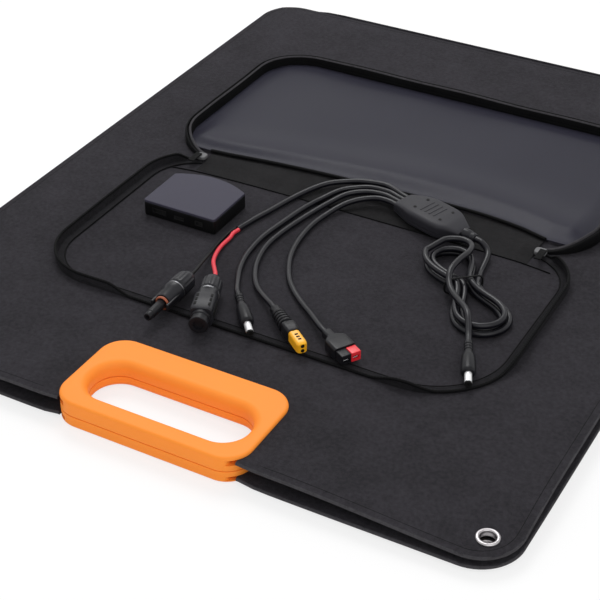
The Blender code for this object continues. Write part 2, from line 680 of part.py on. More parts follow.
def splitter_ring(z, inset=0.0):
    """Outline of the splitter block at one height, in its own frame, widest between its shoulders."""
    half = SPLIT_LENGTH / 2
    wide = SPLIT_WIDTH / 2 - inset
    near, far = (share * SPLIT_LENGTH for share in SPLIT_SHOULDERS)
    left, right = SPLIT_FAN_END / 2 - inset / 2, SPLIT_TRUNK_END / 2 - inset / 2
    points = [(-half, -left), (near, -wide), (far, -wide), (half - inset, -right),
              (half - inset, right), (far, wide), (near, wide), (-half, left)]
    return [(x, y, z) for x, y in rounded_polygon(points, SPLIT_CORNER_R * 0.6)]


def make_splitter(materials, block):
    """Lower and upper shells of the splitter, and the relief where the trunk cord leaves it."""
    part_z = SPLIT_LOWER_H
    add_node("splitter_lower_shell", skin_mesh([splitter_ring(0), splitter_ring(part_z)]),
             materials["moulding"], block, local=True)
    shoulder_z = SPLIT_HEIGHT - SPLIT_TOP_INSET
    rings = [splitter_ring(part_z + FIT), splitter_ring(shoulder_z),
             splitter_ring(SPLIT_HEIGHT, SPLIT_TOP_INSET)]
    add_node("splitter_upper_shell", skin_mesh(rings), materials["moulding"], block, local=True)
    start = SPLIT_LENGTH / 2 + FIT
    big, small = RELIEF_RADII
    end = start + RELIEF_LENGTH
    relief = turned_mesh([(start, 0), (start, big), (end, small), (end, 0)])
    relief.transform(Matrix.Translation((0, 0, TRUNK_EXIT_Z)))
    add_node("trunk_strain_relief", relief, materials["moulding"], block, local=True)


def splitter_point(along, across, up):
    """A point given in the splitter's own frame, in the world frame."""
    turn = Matrix.Rotation(SPLIT_YAW, 3, "Z")
    return Vector((SPLIT_X, SPLIT_Y, LAID_Z)) + turn @ Vector((along, across, up))


def heading(degrees):
    return Vector((math.cos(math.radians(degrees)), math.sin(math.radians(degrees)), 0))


def connector_entry(place, axis_z):
    """The cord end of a connector and the straight point before it."""
    x, y, degrees = place
    ahead = heading(degrees)
    end = Vector((x, y, LAID_Z + axis_z)) - ahead * FIT
    return [end - ahead * STRAIGHT_END, end]


def make_branches(materials, parent):
    """The four branch cords, and the two bare wires on the first of them."""
    routes = [ROUTE_1, ROUTE_2, ROUTE_3, ROUTE_4]
    ends = [None, (CHARGE_PLUG_AT, PLUG_BODY_R), (BATTERY_AT, BATTERY_HEIGHT / 2),
            (POLE_AT, SHROUD_HEIGHT / 2)]
    for index, (route, end) in enumerate(zip(routes, ends)):
        across = (1.5 - index) * BRANCH_PITCH
        start = -SPLIT_LENGTH / 2 - FIT
        points = [splitter_point(start, across, BRANCH_EXIT_Z),
                  splitter_point(start - STRAIGHT_END, across, BRANCH_EXIT_Z), *over_cover(route)]
        if end is not None:
            points += connector_entry(*end)
        name = "branch_cord_" + str(index + 1)
        tube(name, smooth_route(points, ROUTE_STEP * BRANCH_D), BRANCH_D, materials["cord"], parent)

    jacket_end, before = over_cover(ROUTE_1[-1:])[0], over_cover(ROUTE_1[-2:-1])[0]
    ahead = (jacket_end - before).normalized()
    aside = Vector((-ahead.y, ahead.x, 0))
    wires = [("red_wire", RED_ROUTE, FEMALE_AT, RED_D, 1.0, BLACK_D),
             ("black_wire", BLACK_ROUTE, MALE_AT, BLACK_D, -1.0, RED_D)]
    for name, route, place, diameter, side, other in wires:
        start = jacket_end + ahead * FIT + aside * side * (other + FIT) / 2
        points = [start, start + ahead * STRAIGHT_END, *over_cover(route), *connector_entry(place, NUT_R)]
        tube(name, smooth_route(points, ROUTE_STEP * diameter), diameter, materials[name], parent)


def hank_base(turn):
    """A point of the hank's innermost loop and its outward direction, in the hank's own frame."""
    def place(angle):
        length = HANK_LOWER if math.cos(angle) > 0 else HANK_UPPER
        across = math.sin(angle) * (HANK_WAIST_HALF + HANK_LOBE * math.cos(angle) ** 2)
        return Vector((length * math.cos(angle), across))

    small = 1e-4
    forward = (place(turn + small) - place(turn - small)).normalized()
    return place(turn), Vector((forward.y, -forward.x))


def eased(share):
    """A share between 0 and 1, with a slow start and end."""
    share = min(max(share, 0), 1)
    return share * share * (3 - 2 * share)


def hank_points():
    """Loops that spiral in on the cover, climb where the spiral turns, spiral out and climb to the tail."""
    count = HANK_TURNS * LOOP_POINT_COUNT
    points = []
    turn_about = Matrix.Rotation(HANK_YAW, 2)
    for index in range(-2, count + 3):
        turns = index / LOOP_POINT_COUNT
        place, outward = hank_base(math.pi / 2 - 2 * math.pi * turns)
        spread = abs(turns - HANK_TURNS / 2) * HANK_PITCH
        climb = eased((turns - HANK_TURNS / 2) * 2 + 0.5) + eased((turns - HANK_TURNS + 0.55) / 0.4)
        rise = HANK_WAIST_LIFT * math.exp(-(place.x / HANK_LIFT_SPAN) ** 2)
        flat = turn_about @ (place + outward * spread)
        z = TOP_Z + FIT + TRUNK_D / 2 + HANK_LAYER * climb + rise
        points.append(Vector((HANK_WAIST[0] + flat.x, HANK_WAIST[1] + flat.y, z)))
    return points


def least_self_gap(points, diameter, skip):
    """The least clear distance between stretches of a cord that aren't neighbours."""
    array = np.array([tuple(point) for point in points])
    fine = np.concatenate([np.linspace(a, b, 6, endpoint=False) for a, b in zip(array, array[1:])])
    lengths = np.cumsum(np.r_[0, np.linalg.norm(np.diff(fine, axis=0), axis=1)])
    apart = np.linalg.norm(fine[:, None] - fine[None], axis=2)
    apart[np.abs(lengths[:, None] - lengths[None]) < skip] = np.inf
    return apart.min() - diameter


def make_trunk(materials, parent):
    """The trunk cord from the splitter: a lead, a tied hank of loops, and a tail to its plug."""
    loops = hank_points()
    out = splitter_point(SPLIT_LENGTH / 2 + FIT + RELIEF_LENGTH + FIT, 0, TRUNK_EXIT_Z)
    straight = splitter_point(SPLIT_LENGTH / 2 + RELIEF_LENGTH + STRAIGHT_END, 0, TRUNK_EXIT_Z)
    enter = (loops[1] - loops[0]).normalized()
    leave = (loops[-1] - loops[-2]).normalized()
    lead = [out, straight, *over_cover(LEAD_ROUTE), loops[0] - enter * STRAIGHT_END, loops[0] - enter * FIT]
    tail = [loops[-1] + leave * FIT, loops[-1] + leave * STRAIGHT_END, *over_cover(TAIL_ROUTE),
            *connector_entry(TRUNK_PLUG_AT, PLUG_BODY_R)]
    tube("trunk_cord_lead", smooth_route(lead, ROUTE_STEP * TRUNK_D), TRUNK_D, materials["cord"], parent)
    tube("trunk_cord_hank", loops, TRUNK_D, materials["cord"], parent, resolution=1)
    tube("trunk_cord_tail", smooth_route(tail, ROUTE_STEP * TRUNK_D), TRUNK_D, materials["cord"], parent)
    print("hank: least gap to itself", round(least_self_gap(loops, TRUNK_D, 4 * TRUNK_D) / MM, 2), "mm")


def make_tie(materials, parent):
    """The twist tie, one closed wire round the hank's waist."""
    half = HANK_WAIST_HALF + HANK_TURNS / 2 * HANK_PITCH + TRUNK_D / 2 + FIT + TIE_D
    low = TOP_Z + FIT + TIE_D / 2
    high = TOP_Z + FIT + HANK_WAIST_LIFT + 3 * HANK_LAYER + TIE_D
    outline = rounded_rect(-half, half, low, high, [(high - low) * 0.32] * 4, 4)
    across = Vector((-math.sin(HANK_YAW), math.cos(HANK_YAW), 0))
    along = Vector((math.cos(HANK_YAW), math.sin(HANK_YAW), 0))
    middle = Vector((*HANK_WAIST, 0))
    bm = bmesh.new()
    sides = 6
    rings = []
    centre = Vector((0, (low + high) / 2))
    for x, z in outline:
        outward = (Vector((x, z)) - centre).normalized()
        ring = []
        for side in range(sides):
            angle = 2 * math.pi * side / sides
            reach = TIE_D / 2 * math.cos(angle)
            flat = middle + across * (x + outward.x * reach) + along * TIE_D / 2 * math.sin(angle)
            ring.append(bm.verts.new((flat.x, flat.y, z + outward.y * reach)))
        rings.append(ring)
    for index, ring in enumerate(rings):
        after = rings[(index + 1) % len(rings)]
        for side in range(sides):
            beside = (side + 1) % sides
            bm.faces.new((ring[side], ring[beside], after[beside], after[side]))
    add_node("hank_tie", mesh_from(bm, 60), materials["tie"], parent)


def connector_pivot(name, place, axis_z, parent):
    x, y, degrees = place
    return make_pivot(name, (x, y, LAID_Z + axis_z), math.radians(degrees), parent)


def make_round_connectors(materials, parent):
    """The pair of round solar connectors: cap nuts, bodies, and the pin tube and socket that mate."""
    male = connector_pivot("male_connector", MALE_AT, NUT_R, parent)
    nut = [(0, 0), (0, NUT_R * 0.62), (NUT_LENGTH * 0.25, NUT_R * 0.92), (NUT_LENGTH * 0.9, NUT_R),
           (NUT_LENGTH, NUT_R * 0.9), (NUT_LENGTH, 0)]
    add_node("male_connector_nut", turned_mesh(nut, 12), materials["moulding"], male, local=True)
    body_start = NUT_LENGTH + FIT
    body_end = body_start + MALE_BODY_LENGTH
    body = [(body_start, 0), (body_start, MALE_BODY_R), (body_start + MALE_BODY_LENGTH * 0.4, MALE_BODY_R),
            (body_start + MALE_BODY_LENGTH * 0.5, MALE_BODY_R * 0.86), (body_end, MALE_BODY_R * 0.82),
            (body_end, 0)]
    add_node("male_connector_body", turned_mesh(body), materials["moulding"], male, local=True)
    front = body_end + FIT
    bore = MALE_TUBE_LENGTH * 0.6
    pin = [(front, 0), (front, MALE_TUBE_R), (front + MALE_TUBE_LENGTH, MALE_TUBE_R * 0.92),
           (front + MALE_TUBE_LENGTH, MALE_TUBE_BORE), (front + MALE_TUBE_LENGTH - bore, MALE_TUBE_BORE),
           (front + MALE_TUBE_LENGTH - bore, 0)]
    add_node("male_connector_pin_tube", turned_mesh(pin, 16), materials["moulding"], male, local=True)
    seal_in = MALE_TUBE_R + FIT
    seal = [(front, seal_in), (front, SEAL_R), (front + SEAL_LENGTH, SEAL_R), (front + SEAL_LENGTH, seal_in)]
    add_node("male_connector_seal", turned_mesh(seal, closed=True), materials["seal"], male, local=True)

    female = connector_pivot("female_connector", FEMALE_AT, NUT_R, parent)
    add_node("female_connector_nut", turned_mesh(nut, 12), materials["moulding"], female, local=True)
    body_end = body_start + FEMALE_BODY_LENGTH
    half = FEMALE_BODY_HALF
    rings = []
    steps = [(body_start, 0.9), (body_start + half, 0.9), (body_start + 1.4 * half, 1), (body_end, 1)]
    for along, share in steps:
        reach = half * share
        square = rounded_rect(-reach, reach, -reach, reach, [reach * 0.55] * 4, 3)
        rings.append([(along, y, z) for y, z in square])
    add_node("female_connector_body", skin_mesh(rings), materials["moulding"], female, local=True)
    front = body_end + FIT
    nose_end = front + FEMALE_NOSE_LENGTH
    nose = [(front, 0), (front, FEMALE_NOSE_R), (nose_end, FEMALE_NOSE_R), (nose_end, FEMALE_NOSE_BORE),
            (nose_end - FEMALE_NOSE_RECESS, FEMALE_NOSE_BORE), (nose_end - FEMALE_NOSE_RECESS, 0)]
    add_node("female_connector_socket", turned_mesh(nose), materials["moulding"], female, local=True)


def make_dc_plug(name, place, materials, parent):
    """Overmoulded body with a ribbed neck, and a hollow metal barrel."""
    pivot = connector_pivot(name, place, PLUG_BODY_R, parent)
    body = [(0, 0), (0, PLUG_NECK_R)]
    for rib in range(PLUG_RIB_COUNT):
        along = (rib + 1) * PLUG_RIB_STEP
        body += [(along, PLUG_NECK_R), (along + PLUG_RIB_STEP * 0.25, PLUG_NECK_R * 0.85),
                 (along + PLUG_RIB_STEP * 0.5, PLUG_NECK_R)]
    body += [(PLUG_BODY_LENGTH * 0.6, PLUG_BODY_R * 0.96), (PLUG_BODY_LENGTH * 0.95, PLUG_BODY_R),
             (PLUG_BODY_LENGTH, PLUG_BODY_R * 0.85), (PLUG_BODY_LENGTH, 0)]
    add_node(name + "_body", turned_mesh(body, 16), materials["moulding"], pivot, local=True)
    front = PLUG_BODY_LENGTH + FIT
    end = front + PLUG_BARREL_LENGTH
    deep = PLUG_BARREL_LENGTH * 0.8
    barrel = [(front, 0), (front, PLUG_BARREL_R), (end, PLUG_BARREL_R), (end, PLUG_BORE_R),
              (end - deep, PLUG_BORE_R), (end - deep, 0)]
    add_node(name + "_barrel", turned_mesh(barrel, 16), materials["plug_metal"], pivot, local=True)


def make_battery_connector(materials, parent):
    """Ribbed boot and two-pole yellow housing."""
    pivot = connector_pivot("battery_connector", BATTERY_AT, BATTERY_HEIGHT / 2, parent)
    boot = [(0, 0), (0, BOOT_NECK_R), (BOOT_LENGTH * 0.25, BOOT_NECK_R)]
    pitch = BOOT_LENGTH * 0.7 / BOOT_RIB_COUNT
    for rib in range(BOOT_RIB_COUNT):
        along = BOOT_LENGTH * 0.3 + rib * pitch
        boot += [(along, BOOT_R), (along + pitch * 0.6, BOOT_R), (along + pitch * 0.65, BOOT_R * 0.9),
                 (along + pitch * 0.95, BOOT_R * 0.9)]
    boot += [(BOOT_LENGTH, BOOT_R * 0.9), (BOOT_LENGTH, 0)]
    add_node("battery_connector_boot", turned_mesh(boot, 16), materials["moulding"], pivot, local=True)
    start = BOOT_LENGTH + FIT
    rings = []
    for share, size in [(0, 1), (0.45, 1), (0.5, 0.92), (0.94, 0.92), (1, 0.8)]:
        y, z = BATTERY_WIDTH / 2 * size, BATTERY_HEIGHT / 2 * size
        section = rounded_rect(-y, y, -z, z, [y * 0.55] * 4, 3)
        rings.append([(start + BATTERY_LENGTH * share, a, b) for a, b in section])
    add_node("battery_connector_housing", skin_mesh(rings), materials["yellow_housing"], pivot, local=True)


def make_pole_connector(materials, parent):
    """Tapered shroud with a red and a black single-pole housing side by side."""
    pivot = connector_pivot("pole_connector", POLE_AT, SHROUD_HEIGHT / 2, parent)
    rings = []
    for share, width, height in [(0, SHROUD_NECK, SHROUD_NECK), (0.3, SHROUD_NECK, SHROUD_NECK),
                                 (0.5, SHROUD_WIDTH, SHROUD_HEIGHT), (1, SHROUD_WIDTH, SHROUD_HEIGHT)]:
        section = rounded_rect(-width / 2, width / 2, -height / 2, height / 2, [height * 0.25] * 4, 3)
        rings.append([(SHROUD_LENGTH * share, y, z) for y, z in section])
    add_node("pole_connector_shroud", skin_mesh(rings), materials["moulding"], pivot, local=True)
    start = SHROUD_LENGTH + FIT
    half = POLE_SIZE / 2
    for name, side, material in [("red", 1, "red_housing"), ("black", -1, "moulding")]:
        middle = side * (half + FIT / 2)
        low = Vector((start, middle - half, -half))
        high = Vector((start + POLE_LENGTH, middle + half, half))
        block = box_mesh(low, high)
        pole = add_node("pole_connector_" + name, block, materials[material], pivot, local=True)
        wall = Vector((POLE_LENGTH - POLE_RECESS, POLE_WALL, POLE_WALL))
        mouth = Vector((POLE_RECESS, -POLE_WALL, -POLE_WALL))
        cut(pole, box_mesh(low + wall, high + mouth))


def make_materials():
    looks = {
        "cover_fabric": ((0.043, 0.04, 0.046), 0.85), "core_board": ((0.3, 0.29, 0.27), 0.8),
        "solar_cells": ((0.01, 0.012, 0.03), 0.2), "binding": ((0.02, 0.02, 0.022), 0.85),
        "handle": ((0.95, 0.3, 0.06), 0.45), "zip_tape": ((0.012, 0.012, 0.013), 0.8),
        "lining": ((0.06, 0.058, 0.08), 0.45), "controller_black": ((0.01, 0.01, 0.011), 0.5),
        "controller_grey": ((0.075, 0.072, 0.095), 0.55), "circuit_board": ((0.02, 0.12, 0.05), 0.5),
        "moulding": ((0.03, 0.03, 0.036), 0.5), "cord": ((0.045, 0.043, 0.055), 0.45),
        "red_wire": ((0.75, 0.05, 0.07), 0.4), "black_wire": ((0.02, 0.02, 0.022), 0.5),
        "seal": ((0.55, 0.13, 0.05), 0.6), "yellow_housing": ((0.9, 0.46, 0.02), 0.4),
        "red_housing": ((0.75, 0.05, 0.07), 0.4), "tie": ((0.05, 0.05, 0.06), 0.5)}
    metals = {"eyelet": ((0.75, 0.75, 0.76), 0.2), "zip_metal": ((0.16, 0.16, 0.17), 0.4),
              "socket_metal": ((0.5, 0.5, 0.52), 0.35), "plug_metal": ((0.85, 0.85, 0.85), 0.2)}
    materials = {name: make_material(name, *look) for name, look in looks.items()}
    materials.update({name: make_material(name, *look, metallic=1.0) for name, look in metals.items()})
    return materials


def main():
    clear_scene()
    materials = make_materials()
    panel = make_pivot("upper_panel_pivot", (0, FOLD_Y, MID_Z))
    lid = make_pivot("pouch_lid_pivot", (0, LID_AXIS_Y, LID_AXIS_Z))
    cables = make_pivot("cable_set_pivot", (SPLIT_X, SPLIT_Y, LAID_Z))
    for side, parent in [("lower", None), ("upper", panel)]:
        make_half(side, materials, parent)
        make_handle(side, materials, parent)
        make_eyelets(side, materials, parent)
    make_pouch(materials, panel, lid)
    for place, location in slider_places().items():
        pull_pivot = make_pivot("zip_pull_pivot_" + place, location)
        make_zip_slider(place, materials, panel, pull_pivot)
    make_controller(materials, panel)
    block = make_pivot("splitter_block", (SPLIT_X, SPLIT_Y, LAID_Z), SPLIT_YAW, cables)
    make_splitter(materials, block)
    make_branches(materials, cables)
    make_trunk(materials, cables)
    make_tie(materials, cables)
    make_round_connectors(materials, cables)
    make_dc_plug("charge_plug", CHARGE_PLUG_AT, materials, cables)
    make_dc_plug("trunk_plug", TRUNK_PLUG_AT, materials, cables)
    make_battery_connector(materials, cables)
    make_pole_connector(materials, cables)


main()
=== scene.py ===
import math

import bmesh
import bpy
import numpy as np
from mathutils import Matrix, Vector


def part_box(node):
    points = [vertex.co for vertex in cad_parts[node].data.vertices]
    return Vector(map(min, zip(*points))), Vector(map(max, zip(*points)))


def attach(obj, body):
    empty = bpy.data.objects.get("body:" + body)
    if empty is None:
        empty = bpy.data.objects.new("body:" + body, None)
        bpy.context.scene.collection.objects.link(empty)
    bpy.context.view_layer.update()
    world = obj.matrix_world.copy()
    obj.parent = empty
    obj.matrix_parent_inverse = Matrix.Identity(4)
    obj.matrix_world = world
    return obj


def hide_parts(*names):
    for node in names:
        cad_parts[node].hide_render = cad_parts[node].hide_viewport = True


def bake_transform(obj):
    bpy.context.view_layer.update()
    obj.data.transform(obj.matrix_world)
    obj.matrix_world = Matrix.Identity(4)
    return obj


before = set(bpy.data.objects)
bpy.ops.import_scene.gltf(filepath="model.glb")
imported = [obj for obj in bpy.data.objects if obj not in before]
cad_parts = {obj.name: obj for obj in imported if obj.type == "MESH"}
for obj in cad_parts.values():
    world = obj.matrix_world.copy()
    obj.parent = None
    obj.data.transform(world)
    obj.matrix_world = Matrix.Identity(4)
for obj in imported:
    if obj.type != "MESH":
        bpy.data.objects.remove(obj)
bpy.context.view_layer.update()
print("frame loaded:", len(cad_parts), "solids")

mm = 0.001
clearance = 0.3 * mm  # left between pieces that touch
creaseAngle = 38  # degrees; sharper edges stay hard
sewnStep = 3 * mm  # between points of stitches and hems
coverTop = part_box("upper_cover")[1][2]
midZ = coverTop / 2
laidZ = coverTop + 2.1 * mm  # height where things lie on the zip rim


# settings of a piece, given in millimetres and kept in metres
def inMetres(**lengths):
    return {name: np.multiply(value, mm).tolist() for name, value in lengths.items()}


# mesh helpers

# rows of points joined into quads; a closed grid runs on from its last row to its first,
# and an open one has a fan about the middle of each end row
def gridShell(points, closed=False):
    points = np.asarray(points, float)
    rows, columns = points.shape[:2]
    r0, c0 = np.meshgrid(np.arange(rows if closed else rows - 1), np.arange(columns), indexing="ij")
    r1, c1 = (r0 + 1) % rows, (c0 + 1) % columns
    quads = [r0 * columns + c0, r0 * columns + c1, r1 * columns + c1, r1 * columns + c0]
    verts = points.reshape(-1, 3)
    faces = np.stack(quads, axis=-1).reshape(-1, 4).tolist()
    for row in () if closed else (0, rows - 1):
        ring = row * columns + np.arange(columns)
        verts = np.vstack([verts, points[row].mean(axis=0)])
        tip = np.full(columns, len(verts) - 1)
        faces += np.stack([ring, np.roll(ring, -1), tip], axis=-1).tolist()
    return verts, faces


# several shells as one piece
def joinShells(shells):
    verts, faces, start = [], [], 0
    for shellVerts, shellFaces in shells:
        verts.append(np.asarray(shellVerts))
        faces += [[start + index for index in face] for face in shellFaces]
        start += len(shellVerts)
    return np.vstack(verts), faces


# mesh of a shell with its faces turned outwards
def shellMesh(name, shell, merge=True):
    mesh = bpy.data.meshes.new(name)
    mesh.from_pydata(np.asarray(shell[0]).tolist(), [], shell[1])
    work = bmesh.new()
    work.from_mesh(mesh)
    if merge:
        bmesh.ops.remove_doubles(work, verts=work.verts, dist=1e-6)
        bmesh.ops.dissolve_degenerate(work, edges=work.edges, dist=1e-7)
    bmesh.ops.recalc_face_normals(work, faces=work.faces)
    work.to_mesh(mesh)
    work.free()
    return mesh


# a shell as a finished object with its finish, on its body and in place of its solids
def makePiece(name, shell, finishName, body, slotName, nodes=(), smoothAngle=creaseAngle, ride=True):
    mesh = shellMesh(name, shell)
    mesh.shade_smooth()
    mesh.set_sharp_from_angle(angle=math.radians(smoothAngle))
    mesh.materials.append(finishes[finishName])
    piece = bpy.data.objects.new(name, mesh)
    bpy.context.collection.objects.link(piece)
    if ride:
        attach(piece, body)
    if nodes:
        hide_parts(*nodes)
    return piece


# subtract closed shells from a piece and keep the result as its mesh
def cutFrom(piece, shells):
    for shell in shells:
        cutter = bpy.data.objects.new("cutter", shellMesh("cutter", shell, merge=False))
        bpy.context.collection.objects.link(cutter)
        modifier = piece.modifiers.new("cut", "BOOLEAN")
        modifier.operation = "DIFFERENCE"
        modifier.object = cutter
        bpy.context.view_layer.update()
        graph = bpy.context.evaluated_depsgraph_get()
        result = bpy.data.meshes.new_from_object(piece.evaluated_get(graph))
        piece.modifiers.clear()
        piece.data = result
        bpy.data.objects.remove(cutter, do_unlink=True)
    piece.data.set_sharp_from_angle(angle=math.radians(creaseAngle))


# faces whose middle lies between two distances from an outline take a second finish
def bandFaces(piece, outline, near, far, finishName):
    mesh = piece.data
    mesh.materials.append(finishes[finishName])
    centres = np.empty(len(mesh.polygons) * 3)
    mesh.polygons.foreach_get("center", centres)
    flat = centres.reshape(-1, 3)[:, :2]
    inside = np.concatenate([np.min(np.linalg.norm(part[:, None] - outline[None], axis=-1), axis=1)
                             for part in np.array_split(flat, 24)])
    mesh.polygons.foreach_set("material_index", ((inside > near) & (inside < far)).astype(np.int32))


def paintNode(name, finishName):
    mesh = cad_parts[name].data
    mesh.materials.clear()
    mesh.materials.append(finishes[finishName])


# 0 up to low, 1 from high on, and 3t2 - 2t3 between them
def smoothStep(value, low, high):
    share = np.clip((value - low) / (high - low), 0, 1)
    return share * share * (3 - 2 * share)


# even angles round a full turn
def fullTurn(count):
    return np.linspace(0, 2 * np.pi, count, endpoint=False)


def circle(radius, count):
    return np.stack([np.cos(fullTurn(count)), np.sin(fullTurn(count))], axis=-1) * radius


# rectangle with four round corners, anticlockwise from the front right; each corner is a quarter turn
# of arc steps, and each side is cut into equal lengths
def roundRect(x0, x1, y0, y1, radii, arc=12, edge=16):
    corners = [(x1, y0, -90, -1, 1), (x1, y1, 0, -1, -1), (x0, y1, 90, 1, -1), (x0, y0, 180, 1, 1)]
    sweep = np.linspace(0, 90, arc + 1)
    arcs = []
    for (cx, cy, start, sx, sy), radius in zip(corners, radii):
        angle = np.radians(start + sweep)
        centre = np.array([cx + sx * radius, cy + sy * radius])
        arcs.append(centre + radius * np.stack([np.cos(angle), np.sin(angle)], axis=-1))
    parts = []
    share = np.linspace(0, 1, edge + 2)[1:-1, None]
    for index in range(4):
        after = arcs[(index + 1) % 4]
        parts += [arcs[index], arcs[index][-1] + (after[0] - arcs[index][-1]) * share]
    return np.vstack(parts)


# an outline at one height
def atHeight(outline, z):
    return np.column_stack([outline, np.full(len(outline), z)])


# upright prism over an outline
def prism(outline, z0, z1):
    return gridShell(np.array([atHeight(outline, z) for z in (z0, z1)]))


# upright block over an outline that takes an inset, its lower and upper edges quarter rounds
def softPrism(outline, z0, z1, lowerEdge, upperEdge):
    quarter = np.radians(np.linspace(0, 90, 5))
    steps = [(lowerEdge * (1 - math.cos(a)), z0 + lowerEdge * (1 - math.sin(a))) for a in quarter[::-1]]
    steps += [(upperEdge * (1 - math.cos(a)), z1 - upperEdge * (1 - math.sin(a))) for a in quarter]
    return gridShell(np.array([atHeight(outline(inset), z) for inset, z in steps]))


# profile of (along, radius) rows turned about local X; a wave scales the radius by row and angle
def turned(profile, sides=32, wave=1.0, closed=False):
    profile = np.asarray(profile, float)
    angle = fullTurn(sides)
    along = np.repeat(profile[:, :1], sides, axis=1)
    radius = np.repeat(profile[:, 1:], sides, axis=1) * wave
    return gridShell(np.stack([along, radius * np.cos(angle), radius * np.sin(angle)], axis=-1), closed)


# rounded-rectangle sections (along, half width, half height, corner) lofted along local X
def lofted(sections, arc=6, edge=4):
    rows = []
    for along, halfY, halfZ, corner in sections:
        outline = roundRect(-halfY, halfY, -halfZ, halfZ, [corner] * 4, arc, edge)
        rows.append(np.column_stack([np.full(len(outline), along), outline]))
    return gridShell(np.array(rows))


# box with all its edges rounded: a rounded section lofted with shrinking ends
def softBox(x0, x1, halfY, halfZ, r, y=0.0, z=0.0):
    quarter = np.radians(np.linspace(0, 90, 4))
    steps = [(x0 + r * (1 - math.sin(a)), r * (1 - math.cos(a))) for a in quarter[::-1]]
    steps += [(x1 - r * (1 - math.sin(a)), r * (1 - math.cos(a))) for a in quarter]
    sections = [(x, halfY - inset, halfZ - inset, max(r - inset, 0.12 * mm) + r * 0.4) for x, inset in steps]
    verts, faces = lofted(sections, 4, 2)
    return verts + [0, y, z], faces


# turn about Z and set down at a place, given as X and Y in millimetres and a heading in degrees
def turnAndPlace(shell, place, z):
    x, y, degrees = place
    c, s = math.cos(math.radians(degrees)), math.sin(math.radians(degrees))
    v = np.asarray(shell[0])
    world = [x * mm + c * v[:, 0] - s * v[:, 1], y * mm + s * v[:, 0] + c * v[:, 1], z + v[:, 2]]
    return np.column_stack(world), shell[1]


# round tube along a path: rings in the plane across the path, level where it isn't steep
def tubeShell(path, radius, sides=14, closed=False):
    path = np.asarray(path, float)
    if closed:
        ahead = np.roll(path, -1, axis=0) - np.roll(path, 1, axis=0)
    else:
        ahead = np.gradient(path, axis=0)
    ahead /= np.linalg.norm(ahead, axis=1)[:, None]
    aside = np.cross(ahead, [0.0, 0.0, 1.0])
    steep = np.linalg.norm(aside, axis=1) < 0.15
    aside[steep] = np.cross(ahead[steep], [0.83, 0.55, 0.0])
    aside /= np.linalg.norm(aside, axis=1)[:, None]
    top = np.cross(aside, ahead)
    angle = fullTurn(sides)
    size = np.broadcast_to(np.asarray(radius, float), len(path))[:, None, None]
    ring = aside[:, None] * np.cos(angle)[None, :, None] + top[:, None] * np.sin(angle)[None, :, None]
    return gridShell(path[:, None] + ring * size, closed)


# points at equal steps along a path
def evenly(path, step):
    lengths = np.r_[0, np.cumsum(np.linalg.norm(np.diff(path, axis=0), axis=1))]
    places = np.linspace(0, lengths[-1], max(4, round(lengths[-1] / step)) + 1)
    return np.stack([np.interp(places, lengths, path[:, axis]) for axis in range(3)], axis=-1)


# even steps on a cubic curve through route points, with straight first and last runs
def smoothRoute(points, step):
    points = np.asarray(points, float)
    padded = np.vstack([2 * points[0] - points[1], points, 2 * points[-1] - points[-2]])
    t = np.linspace(0, 1, 24, endpoint=False)[None, :, None]
    a, b, c, d = (padded[i:len(padded) - 3 + i, None] for i in range(4))
    swing = (c - a) * t + (2 * a - 5 * b + 4 * c - d) * t ** 2 + (3 * b - a - 3 * c + d) * t ** 3
    dense = (b + swing / 2).reshape(-1, 3)[24:24 * (len(points) - 2) + 1]
    return evenly(np.vstack([points[0], dense, points[-1]]), step)


# level paths: even steps, and the direction to the left of the way along
def evenCourse(outline, step):
    return evenly(atHeight(outline, 0), step)[:, :2]


def leftOf(path):
    ahead = np.gradient(path, axis=0)
    ahead /= np.linalg.norm(ahead, axis=1)[:, None]
    return np.stack([-ahead[:, 1], ahead[:, 0]], axis=-1)


# section of (inset array, height array) pairs carried along a level path
def carried(path, inward, section):
    columns = [np.column_stack([path + inward * inset[:, None], z]) for inset, z in section]
    return gridShell(np.stack(columns, axis=1))


# closed cloth: an upper surface over a grid of x and y, and a flat underside
def clothOver(x, y, top, low):
    x, y, top = np.broadcast_arrays(x, y, top)
    upperSide = np.stack([x, y, top], axis=-1)
    lowerSide = np.stack([x, y, np.full_like(top, low)], axis=-1)
    return gridShell(np.concatenate([upperSide, lowerSide[:, ::-1]], axis=1))


# shared surface effects

# links another node's output to a socket, or sets the socket's plain value
def feed(tree, socket, value):
    if isinstance(value, bpy.types.NodeSocket):
        tree.links.new(value, socket)
    else:
        socket.default_value = value


def node(tree, kind, **values):
    item = tree.nodes.new(kind)
    for key, value in values.items():
        if hasattr(item, key):
            setattr(item, key, value)
        else:
            feed(tree, item.inputs[key.replace("_", " ")], value)
    return item


# one step of arithmetic on sockets and plain numbers
def maths(tree, operation, *values):
    item = node(tree, "ShaderNodeMath", operation=operation)
    for socket, value in zip(item.inputs, values):
        feed(tree, socket, value)
    return item.outputs[0]


def noise(tree, **values):
    return node(tree, "ShaderNodeTexNoise", **values).outputs["Fac"]


# a group with number inputs, and a height and a tone as its outputs
def newGroup(name, **inputs):
    group = bpy.data.node_groups.new(name, "ShaderNodeTree")
    for label, value in inputs.items():
        socket = group.interface.new_socket(label, in_out="INPUT", socket_type="NodeSocketFloat")
        socket.default_value = value
    for label in ("Height", "Tone"):
        group.interface.new_socket(label, in_out="OUTPUT", socket_type="NodeSocketFloat")
    coords = node(group, "ShaderNodeTexCoord").outputs["Object"]
    start = node(group, "NodeGroupInput").outputs
    end = node(group, "NodeGroupOutput").inputs
    return group, coords, start, end


